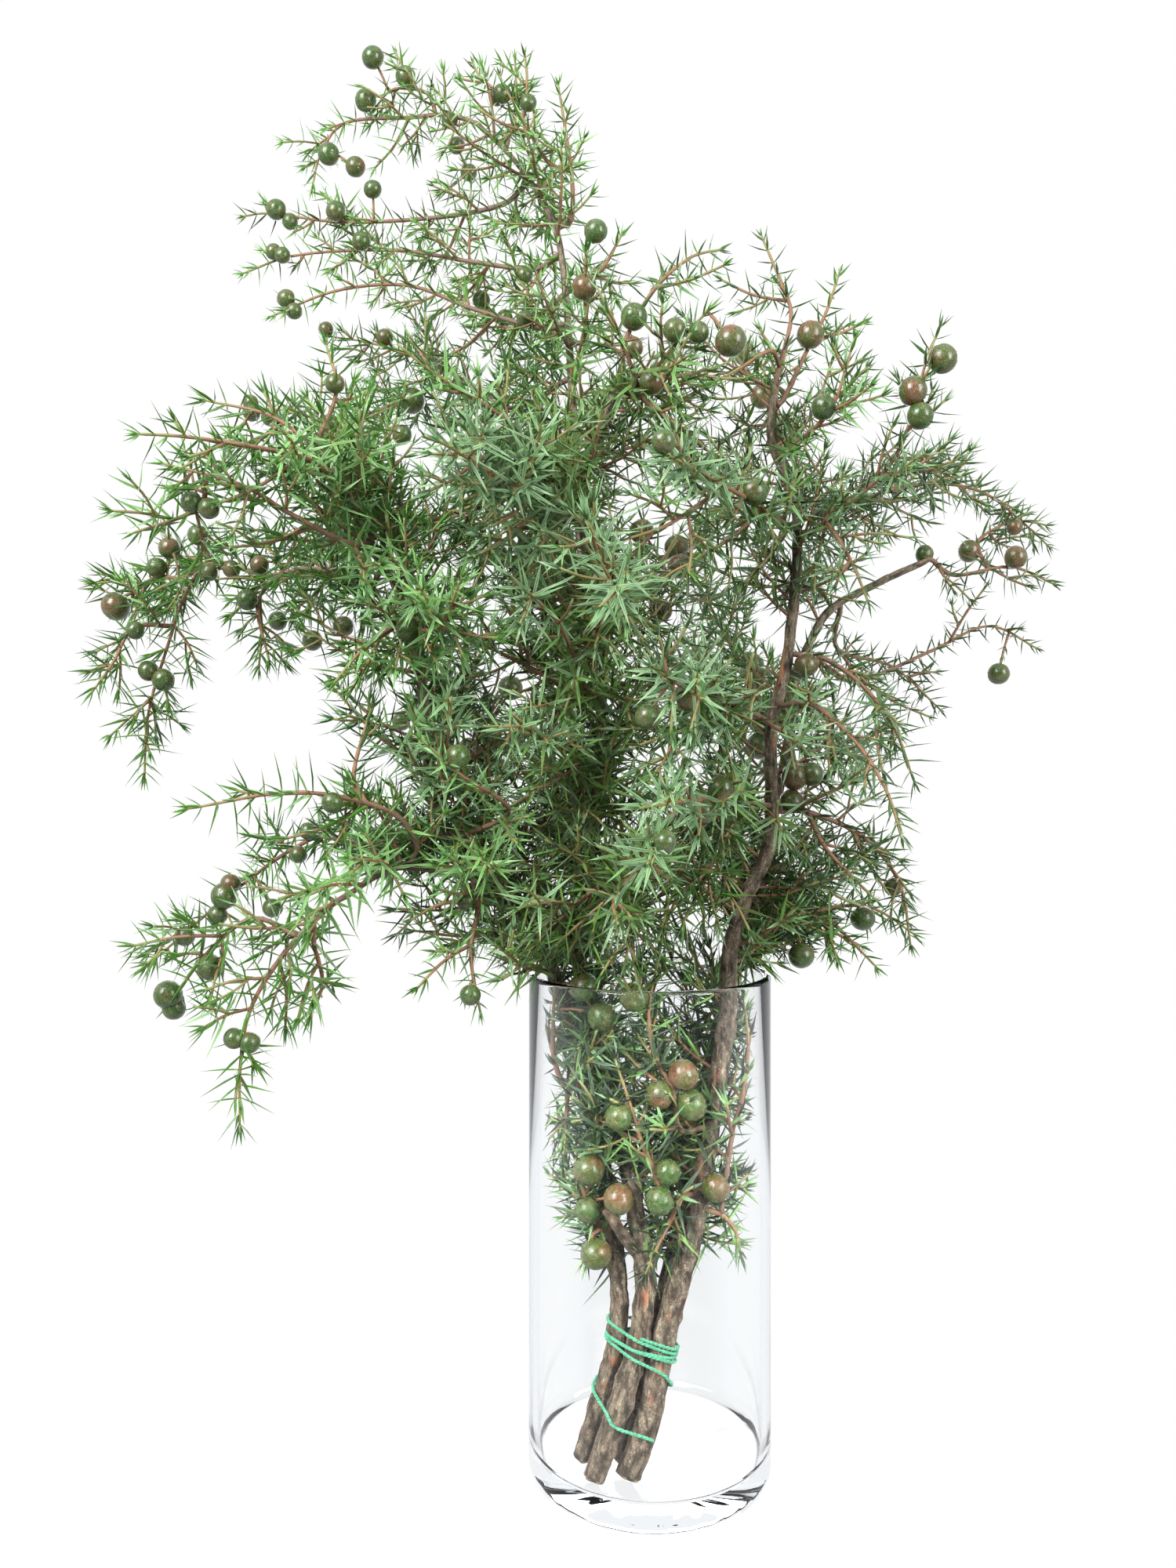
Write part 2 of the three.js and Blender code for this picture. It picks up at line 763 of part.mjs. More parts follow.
// The vase: one turned solid with a thick floor, rounded foot and rounded lip.
function makeVase() {
  const { radius, height, wall, floor, footRound, innerRound, sides } = VASE;
  const lip = wall / 2;
  const arc = (r, z, size, from, to, count) =>
    Array.from({ length: count + 1 }, (_, i) => {
      const angle = radians(from + ((to - from) * i) / count);
      return [r + size * Math.cos(angle), z + size * Math.sin(angle)];
    });
  const profile = [
    ...arc(radius - footRound, footRound, footRound, -90, 0, 4),
    ...arc(radius - lip, height - lip, lip, 0, 180, 4),
    ...arc(radius - wall - innerRound, floor + innerRound, innerRound, 0, -90, 3),
  ];
  const vertices = [];
  for (const [r, z] of profile) {
    for (let side = 0; side < sides; side++) {
      const angle = (2 * Math.PI * side) / sides;
      vertices.push(new THREE.Vector3(r * Math.cos(angle), r * Math.sin(angle), z));
    }
  }
  const triangles = [];
  for (let k = 0; k < profile.length - 1; k++) {
    for (let side = 0; side < sides; side++) {
      const next = (side + 1) % sides;
      const [a, b] = [k * sides + side, k * sides + next];
      triangles.push([a, b, b + sides], [a, b + sides, a + sides]);
    }
  }
  const under = vertices.push(new THREE.Vector3(0, 0, 0)) - 1;
  const inside = vertices.push(new THREE.Vector3(0, 0, floor)) - 1;
  const last = (profile.length - 1) * sides;
  for (let side = 0; side < sides; side++) {
    const next = (side + 1) % sides;
    triangles.push([next, side, under], [last + side, last + next, inside]);
  }
  return solid(vertices, triangles);
}

// The lowest corner of a cut end rests just above the vase's floor.
function standOnFloor(points, radius) {
  const heading = points[1].clone().sub(points[0]).normalize();
  const drop = radius * Math.sqrt(1 - heading.z ** 2);
  const lower = (points[0].z - drop - VASE.floor - GAP) / heading.z;
  points[0].addScaledVector(heading, -lower);
}

function makeBranch(name) {
  const parts = BRANCHES[name].map(({ from, to, route }, order) => {
    const points = route.map(vector);
    if (order === 0) standOnFloor(points, from);
    const wood = Route.ofWood(points);
    const radiusAt = (s) => from + (to - from) * (s / wood.length);
    claimRoute(name, wood, radiusAt);
    return { wood, radiusAt };
  });
  const limbs = parts.map(({ wood, radiusAt }) => tube(wood, radiusAt, BARK.sides));
  return { parts, solid: wasm.Manifold.union(limbs) };
}

// The string follows the outside of the tied stems, turn by turn, then winds down to its loose end.
function makeString(branches) {
  const stems = Object.values(branches).map(({ parts }) => parts[0]);
  const middle = new THREE.Vector3();
  for (const { wood } of stems) {
    middle.addScaledVector(wood.at(wood.atHeight(STRING.top)), 1 / stems.length);
  }
  const points = [];
  const turnsDown = STRING.turns + STRING.looseTurns;
  for (let angle = -90; angle <= 360 * turnsDown - 90; angle += STRING.step) {
    const turns = (angle + 90) / 360;
    const out = new THREE.Vector3(Math.cos(radians(angle)), Math.sin(radians(angle)), 0);
    const wound = Math.min(turns, STRING.turns);
    const slack = Math.max(0, turns - STRING.turns) / (turnsDown - STRING.turns);
    const level = STRING.top - wound * STRING.pitch;
    const centre = level + (STRING.bottom - level) * slack;
    let best = null;
    for (const { wood, radiusAt } of stems) {
      const lean = centre + STRING.slope * (wood.at(wood.atHeight(centre)).x - middle.x);
      const s = wood.atHeight(lean);
      const clear = STRING.slack * radiusAt(s) + STRING.radius + GAP;
      const point = wood.at(s).addScaledVector(out, clear / Math.cos(radians(STRING.step / 2)));
      if (!best || point.dot(out) > best.dot(out)) best = point;
    }
    best.z = centre + STRING.slope * (best.x - middle.x);
    points.push(best);
  }
  const rings = points.map((point, k) => {
    const ahead = points[Math.min(k + 1, points.length - 1)];
    const heading = ahead.clone().sub(points[Math.max(k - 1, 0)]).normalize();
    return ring(point, sideways(heading), STRING.radius, STRING.sides);
  });
  points.slice(1).forEach((point, k) => claim("string_tie", points[k], point, STRING.radius));
  return skinOver(rings);
}

// A spray's first twig goes on from the end of its branch, or sets off square from the bark and then
// bends to its own way.
function rootedOn(branch, point) {
  let best = { distance: Infinity };
  for (const part of branch.parts) {
    const near = part.wood.nearest(point);
    if (near.distance < best.distance) best = { ...near, part };
  }
  const { wood, radiusAt } = best.part;
  if (best.s > wood.length - TWIG.root && !best.part.ledOn) {
    best.part.ledOn = true;
    const out = wood.heading(wood.length);
    const end = wood.at(wood.length);
    return { out, points: [GAP, TWIG.squareRoot].map((ahead) => end.clone().addScaledVector(out, ahead)) };
  }
  const s = Math.min(best.s, wood.length - TWIG.rootBelowTip);
  const heading = wood.heading(s);
  const foot = wood.at(s);
  const out = point.clone().sub(foot);
  out.addScaledVector(heading, -out.dot(heading)).normalize();
  const outBy = (away) => foot.clone().addScaledVector(out, radiusAt(s) + away);
  return { out, points: [GAP, TWIG.squareRoot].map(outBy) };
}

// The stretch of a route that stays clear of the glass and of other nodes.
function clearLength(route, owner) {
  for (let s = 2 * SIDE.lookEvery; s <= route.length; s += SIDE.lookEvery) {
    const [a, b] = [route.at(s - SIDE.lookEvery), route.at(s)];
    const near = room(a, b, TWIG.root, (rod) => rod.owner !== owner);
    const free = near.gap >= 2 * GAP && rodClearOfVase(a, b, TWIG.root);
    if (!free) return s - SIDE.lookEvery - SIDE.stopBefore;
  }
  return route.length;
}

// A side twig from one face of a whorl, cut short before it meets anything, or none where it would be
// a stub.
function sideTwig(parent, whorl, side, owner, draw) {
  const heading = parent.route.heading(whorl.s);
  const out = faceOut(whorl, side);
  const lean = radians(SIDE.lean);
  const share = 1 - SIDE.shorten * (whorl.s / parent.route.length);
  const length = SIDE.length * share * within(SIDE.vary, draw());
  const way = heading.clone().multiplyScalar(Math.cos(lean)).addScaledVector(out, Math.sin(lean));
  const bend = whorl.centre.clone().addScaledVector(way, length * SIDE.straight);
  const end = bend.clone().addScaledVector(way, length * SIDE.curved)
    .addScaledVector(heading, length * SIDE.lifted);
  const whole = new Route([whorl.centre, bend, end]);
  const clear = clearLength(whole, owner);
  if (clear < SIDE.shortest) return null;
  const route = Route.ofTwig([whorl.centre, whole.at(clear / 2), whole.at(clear)], TWIG.bare);
  const across = new THREE.Vector3().crossVectors(out, heading).negate();
  claimRoute(owner, route, () => TWIG.root);
  const twig = { route, thick: TWIG.tip, turn: -Math.PI / 2, across };
  twig.whorls = whorlsOf(twig);
  return twig;
}

// The way out of a whorl's face, halfway between two corners of the twig or a little to one side.
function faceOut({ frame, turn }, side, aside = 0) {
  const angle = turn + Math.PI / 3 + (2 * Math.PI * side) / 3 + radians(aside);
  return frame.across.clone().multiplyScalar(Math.cos(angle))
    .addScaledVector(frame.upward, -Math.sin(angle));
}

// Where a twig's whorls stand, each turned a sixth of a circle from the last.
function whorlsOf({ route, turn, across }) {
  let frame = across ? { across } : sideways(route.heading(0));
  return route.stations.map((s, k) => {
    frame = carried(frame.across, route.heading(s));
    return { s, centre: route.at(s), frame, turn: turn + (Math.PI / 3) * k, faces: [null, null, null] };
  });
}

// A needle's point: drawn in a little where something is near, or none where there is no room.
function needlePoint(twig, whorl, side, half, owner, draw) {
  const lean = radians(NEEDLE.lean - NEEDLE.lower * half + NEEDLE.leanVaries * (draw() - 0.5));
  const length = NEEDLE.length * within(NEEDLE.vary, draw());
  const way = faceOut(whorl, side, -NEEDLE.aside * half).multiplyScalar(Math.cos(lean))
    .addScaledVector(twig.route.heading(whorl.s), Math.sin(lean));
  const counts = (rod) => rod.route !== twig.route || Math.abs(rod.whorl - whorl.s) > 1;
  for (const share of NEEDLE.shares) {
    const tip = whorl.centre.clone().addScaledVector(way, length * share);
    const from = whorl.centre.clone().addScaledVector(way, NEEDLE.free);
    if (room(from, tip, NEEDLE.radius, counts).gap > GAP && rodClearOfVase(from, tip, NEEDLE.radius)) {
      claim(owner, from, tip, NEEDLE.radius, { route: twig.route, whorl: whorl.s });
      return tip;
    }
  }
  return null;
}

function needlesFor(twig, owner, draw) {
  for (const whorl of twig.whorls) {
    whorl.faces = whorl.faces.map((limb, side) => {
      if (limb) return needlesFor(limb, owner, draw);
      return [-1, 1].map((half) => needlePoint(twig, whorl, side, half, owner, draw));
    });
  }
  return twig;
}

function addRing(skin, points) {
  return points.map((point) => skin.vertices.push(point) - 1);
}

// Walls between two loops of corners. A whorl's face has four corners and a twig's ring has three.
function join(skin, from, to) {
  if (from.length > to.length) {
    const [a, b, c, d] = from;
    const [p, q, r] = to;
    skin.triangles.push([a, b, p], [b, q, p], [b, c, q], [c, r, q], [c, d, r], [d, p, r], [d, a, p]);
    return;
  }
  from.forEach((a, side) => {
    const next = (side + 1) % from.length;
    skin.triangles.push([a, from[next], to[side]], [from[next], to[next], to[side]]);
  });
}

function drawToPoint(skin, loop, point) {
  const p = skin.vertices.push(point) - 1;
  loop.forEach((a, side) => skin.triangles.push([a, loop[(side + 1) % loop.length], p]));
}

// A three-sided twig grown on from a loop of corners. At each whorl its three faces are pulled out
// into two needles each or grow on as side twigs.
function growTwig(skin, twig, loop) {
  const { route, thick, whorls } = twig;
  const radiusAt = (s) => thick + (TWIG.tip - thick) * (s / route.length);
  let last = loop;
  for (const { s, frame, turn, faces } of whorls) {
    const [lower, upper] = [-0.5, 0.5].map((half) =>
      addRing(skin, ring(route.at(s + half * NEEDLE.foot), frame, radiusAt(s), 3, turn)));
    join(skin, last, lower);
    faces.forEach((face, side) => {
      const next = (side + 1) % 3;
      const [a, b, c, d] = [lower[side], lower[next], upper[next], upper[side]];
      if (face.route) {
        growTwig(skin, face, [a, b, c, d]);
        return;
      }
      [[a, b, c], [a, c, d]].forEach((corners, half) => {
        if (face[half]) drawToPoint(skin, corners, face[half]);
        else skin.triangles.push(corners);
      });
    });
    last = upper;
  }
  const beyond = route.at(route.length).addScaledVector(route.heading(route.length), TWIG.point);
  drawToPoint(skin, last, twig.end ?? beyond);
}

function leafyTwig(twig) {
  const skin = { vertices: [], triangles: [] };
  const heading = twig.route.heading(0);
  const frame = carried(sideways(heading).across, twig.out ?? heading);
  const foot = addRing(skin, ring(twig.route.at(0), frame, twig.thick, 3, twig.turn));
  skin.triangles.push([foot[0], foot[2], foot[1]]);
  growTwig(skin, twig, foot);
  return solid(skin.vertices, skin.triangles);
}

// A twenty-sided ball, a little over size so that its flats lie about the true surface.
function ball(centre, diameter) {
  const shape = new THREE.IcosahedronGeometry((BERRY.roundUp * diameter) / 2, 0);
  shape.translate(centre.x, centre.y, centre.z);
  const at = shape.getAttribute("position");
  const vertices = [];
  const triangles = [];
  for (let i = 0; i < at.count; i += 3) {
    triangles.push([0, 1, 2].map((k) => {
      const corner = new THREE.Vector3().fromBufferAttribute(at, i + k);
      const found = vertices.findIndex((v) => v.distanceTo(corner) < 1e-4);
      return found < 0 ? vertices.push(corner) - 1 : found;
    }));
  }
  return solid(vertices, triangles);
}

const branches = Object.fromEntries(Object.keys(BRANCHES).map((name) => [name, makeBranch(name)]));
const stringTie = makeString(branches);

// Main twigs of every spray first, then berries, side twigs and needles, so that the larger things
// get their room before the finer ones.
const sprays = Object.entries(SPRAYS).map(([name, { on, twigs, berries }], order) => {
  const draw = seeded(SEED.first + SEED.step * order);
  const mains = [];
  for (const points of twigs) {
    const cleared = points.map((point) => moveClear(vector(point), TWIG.root, name));
    let route;
    let out;
    if (mains.length) {
      const stem = mains[0].route;
      const fork = Math.max(TWIG.firstFork, stem.nearest(cleared[0]).s - TWIG.forkBelow);
      route = Route.ofTwig([stem.at(fork), ...cleared], TWIG.bare);
    } else {
      const root = rootedOn(branches[on], cleared[0]);
      route = Route.ofTwig([...root.points, ...cleared], TWIG.rootBare);
      out = root.out;
    }
    const twig = { route, out, thick: TWIG.root, turn: Math.PI * draw() };
    twig.whorls = whorlsOf(twig);
    mains.push(twig);
    claimRoute(name, route, () => TWIG.root);
  }
  return { name, mains, berries, draw };
});

for (const spray of sprays) {
  spray.fruit = spray.berries.map(([x, y, z, size]) => {
    const centre = moveClear(new THREE.Vector3(x, y, z), size / 2, spray.name);
    return { centre, size };
  });
  spray.stalks = [];
  for (const berry of spray.fruit) {
    let best = { distance: Infinity };
    for (const { route } of spray.mains) {
      const near = route.nearest(berry.centre);
      if (near.distance < best.distance) best = { ...near, route };
    }
    const foot = best.route.at(Math.max(TWIG.firstFork, best.s));
    const reach = best.distance - berry.size / 2;
    const touching = along(foot, berry.centre, berry.size / 2 / best.distance);
    const others = (rod) => rod.owner !== spray.name;
    const fits = room(touching, touching, berry.size / 2, others).gap > GAP;
    if (reach < BERRY.nearby && fits && clearOfVase(touching, berry.size / 2) > 0) {
      berry.centre = touching;
    } else {
      const end = berry.centre;
      const leafy = reach > BERRY.twigFrom;
      const stop = leafy ? foot.clone().lerp(end, reach / best.distance) : end;
      const points = [foot, along(foot, stop, 0.5), stop];
      const route = leafy ? Route.ofTwig(points, TWIG.bare) : new Route(points);
      const twig = { route, thick: BERRY.stalk, turn: 0, end };
      twig.whorls = leafy ? whorlsOf(twig) : [];
      spray.stalks.push(twig);
      claimRoute(spray.name, route, () => BERRY.stalk);
    }
    claim(spray.name, berry.centre, berry.centre, berry.size / 2);
  }
}

for (const { name, mains, draw } of sprays) {
  for (const twig of mains) {
    twig.whorls.forEach((whorl, k) => {
      if (k % SIDE.every === 0 && k < twig.whorls.length - 1) {
        const side = (k / SIDE.every) % 3;
        whorl.faces[side] = sideTwig(twig, whorl, side, name, draw);
      }
    });
  }
}

for (const spray of sprays) {
  const twigs = [...spray.mains, ...spray.stalks].map((twig) => needlesFor(twig, spray.name, spray.draw));
  const berries = spray.fruit.map(({ centre, size }) => ball(centre, size));
  spray.solid = wasm.Manifold.union([...twigs.map(leafyTwig), ...berries]).simplify(MERGE);
}

const plant = new THREE.Group();
plant.name = "juniper_in_vase";

function add(name, made, look) {
  const { numProp, vertProperties, triVerts } = made.getMesh();
  const at = [];
  for (let i = 0; i < vertProperties.length; i += numProp) at.push(...vertProperties.subarray(i, i + 3));
  const geometry = new THREE.BufferGeometry()
    .setAttribute("position", new THREE.Float32BufferAttribute(at, 3))
    .setIndex([...triVerts]);
  geometry.computeVertexNormals();
  const mesh = new THREE.Mesh(geometry, new THREE.MeshStandardMaterial(COLOURS[look]));
  mesh.name = name;
  plant.add(mesh);
}

add("vase", makeVase(), "glass");
for (const [name, branch] of Object.entries(branches)) add(name, branch.solid, "bark");
add("string_tie", stringTie, "string");
for (const spray of sprays) add(spray.name, spray.solid, "foliage");

export default plant;
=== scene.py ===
# Juniper branches with green and ripening berries, tied with string, in a clear glass vase.
# Lengths are written in millimetres, and each mesh is scaled to metres when it is made.
from bisect import bisect
from math import cos, exp, hypot, pi, radians, sin, sqrt, tau

import bpy
import numpy as np
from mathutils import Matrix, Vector, noise


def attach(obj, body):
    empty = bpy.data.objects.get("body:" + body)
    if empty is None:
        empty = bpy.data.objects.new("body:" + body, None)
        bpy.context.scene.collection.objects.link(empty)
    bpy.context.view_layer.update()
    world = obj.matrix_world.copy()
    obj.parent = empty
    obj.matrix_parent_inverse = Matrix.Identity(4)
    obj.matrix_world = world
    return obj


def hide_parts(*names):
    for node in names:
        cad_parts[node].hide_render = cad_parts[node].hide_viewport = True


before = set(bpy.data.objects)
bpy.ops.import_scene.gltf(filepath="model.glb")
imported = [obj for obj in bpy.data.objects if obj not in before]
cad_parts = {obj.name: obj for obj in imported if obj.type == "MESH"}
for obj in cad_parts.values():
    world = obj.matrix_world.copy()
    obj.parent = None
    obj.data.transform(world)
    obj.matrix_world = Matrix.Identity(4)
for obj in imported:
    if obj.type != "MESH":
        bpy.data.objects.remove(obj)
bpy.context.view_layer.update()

MM = 0.001
UP = Vector((0, 0, 1))
SIDEWAYS = Vector((1, 0, 0))

# The same sizes as the solids have. Points on the string's line stand some degrees apart.
VASE = {"radius": 50, "height": 207, "wall": 3.5, "floor": 12, "foot_round": 7, "inner_round": 4}
STRING = {
    "radius": 0.55, "top": 68, "bottom": 30, "pitch": 2.1, "turns": 4, "loose": 1.1, "slope": -0.3,
    "degrees": 6,
}
GAP = 0.3
BARE = 5  # bare foot of a twig that forks from another
ROOT_BARE = 8  # bare foot of a twig that comes out of the wood
FIRST_FORK = 7  # no twig forks nearer to the foot than this
FORK_BELOW = 6  # a fork leaves its twig this far before its first point
WHORL_STEP = 31  # between the solids' whorls, where their side shoots stand
FOOT = 1.8  # the last whorl stands this far below the tip
SIDE_LENGTH = 42  # of a side shoot at its twig's foot, where it is longest
SIDE_LEAN = radians(50)

# Bark: it is deepest where the wood has its full radius. Painted light: above a height, over a length, it
# turns paler, to lift the upper stem out of the foliage's shade, and below it a little darker.
BARK = {"sides": 32, "step": 1.8, "full": 3.6, "spiral": 0.008, "painted_light_from": 160, "painted_light_over": 60}

# The string's two plies: how big they are, the length of one twist, and the step between rings.
PLY = {"size": 0.78, "sides": 6, "twist": 3.4, "step": 0.45}

# Twigs: radius at the foot of the main ones and of those that fork from them. Of the shoots the radius
# and the age at the foot, from 0 for a green shoot to 1 for grey bark.
MAIN_RADIUS = 1.25
FORK_RADIUS = 1.1
SHOOTS = {"side": (0.78, 0.5), "small": (0.64, 0.35), "bud": (0.48, 0.2), "stem": (0.75, 0.55)}

TWIG_TIP = 0.45
SHOOT_TIP = 0.5
RING_STEP = 3.2  # between the rings of a twig's tube
SHOOT_TURN = 2.4  # round the twig, from one small shoot to the next

# Needles: the share that is missing, the share in a twig's usual green, the angles at which they stand
# off, what the youngest fold in, the spread of those, and the length of a shoot over which they are young.
NEEDLE = {"missing": 0.04, "usual": 0.55, "open": 76, "fold": 40, "spread": 34, "tuft": 14, "young": 13}
NEEDLE_STEP = 5.6  # between whorls of three along a shoot
EXTRA_STEP = 8.5  # between the small shoots along a twig
NEEDLE_RINGS = ((0.0, 0.36), (0.34, 0.5))  # shares of a needle's length, and of its width to each side
NEEDLE_ROWS = 23  # rows of green on the needles' colour map
BERRY_ROWS = 8  # columns on the berries' colour map, from green to ripe
RIPE_REGIONS = ("right", "rear", "upper", "vase")
BERRY_SIDES, BERRY_RINGS = 21, 13
NEAR, FAR = 7, 11  # reach from a twig beyond which a berry has a stalk, and a stalk has needles

# Painted shade: needles in the plant's middle, within a reach and below a height, and low down, draw darker
# green rows for the shade that falls there. Each measure has a length over which it fades.
PAINTED_SHADE = {"reach": 80, "reach_fade": 40, "below": 470, "low": 300, "low_fade": 130, "most": 0.85}
EYE = (-25.5, -500, 285)  # where the photograph was taken from
LENS, FILM_WIDTH = 27.58, 36

# Needles in front of berries, and of the right stem between two heights, are left out in a share.
UNCOVERED = {"margin": 1.5, "share": 0.75, "stem": 7, "heights": (212, 350)}

# Each branch: its wood as routes from the cut end upward, with the radius at both ends.
BRANCHES = {
    "right": [
        (5, 1.3, [(-8, -27, 18), (-1, -27, 38), (4, -25, 64), (11, -24, 90), (16, -23, 109), (24, -20, 153),
            (31, -16, 193), (32, -14, 217), (39, -12, 240), (49, -10, 263), (50, -6, 308), (57, -4, 339),
            (62, 2, 389), (58, 4, 411), (51, 4, 431), (54, 6, 455)]),
    ],
    "back": [
        (4, 1.4, [(-13, -14, 10), (-6, -16, 35), (-1, -17, 62), (8, -9, 86), (17, 0, 122), (26, 8, 159),
            (37, 16, 201), (47, 22, 237), (57, 26, 278), (64, 29, 311), (66, 31, 330), (80, 35, 360),
            (102, 41, 374), (129, 50, 387)]),
    ],
    "middle": [
        (4.4, 1.3, [(-21, -29, 18), (-13, -29, 42), (-6, -26, 64), (-3, -24, 86), (-7, -18, 118),
            (-14, -12, 151), (-23, -8, 182), (-29, -4, 214), (-28, -2, 239), (-23, 0, 265), (-20, 2, 318),
            (-20, -2, 363), (-27, -6, 385), (-26, -8, 410), (-19, -10, 432), (-12, -12, 451)]),
        (2.6, 1, [(-20, 2, 331), (-26, 20, 366), (-30, 32, 410), (-33, 40, 468), (-38, 50, 529),
            (-48, 58, 558), (-62, 66, 581), (-77, 74, 599)]),
        (2.4, 2.2, [(-6, -21, 99), (-12, -26, 108), (-18, -29, 119)]),
    ],
    "left": [
        (3.9, 1.5, [(-26, -14, 17), (-20, -19, 39), (-14, -21, 62), (-13, -20, 84), (-17, -12, 116),
            (-23, -8, 147), (-29, -8, 173), (-36, -10, 199), (-48, -14, 228), (-60, -18, 245),
            (-78, -22, 261), (-87, -24, 282), (-90, -26, 316), (-94, -26, 338), (-101, -26, 362),
            (-112, -26, 382), (-120, -26, 398), (-125, -26, 406)]),
        (2, 1, [(-63, -18, 244), (-77, -28, 250), (-96, -36, 253), (-106, -40, 250), (-115, -44, 244)]),
    ],
}

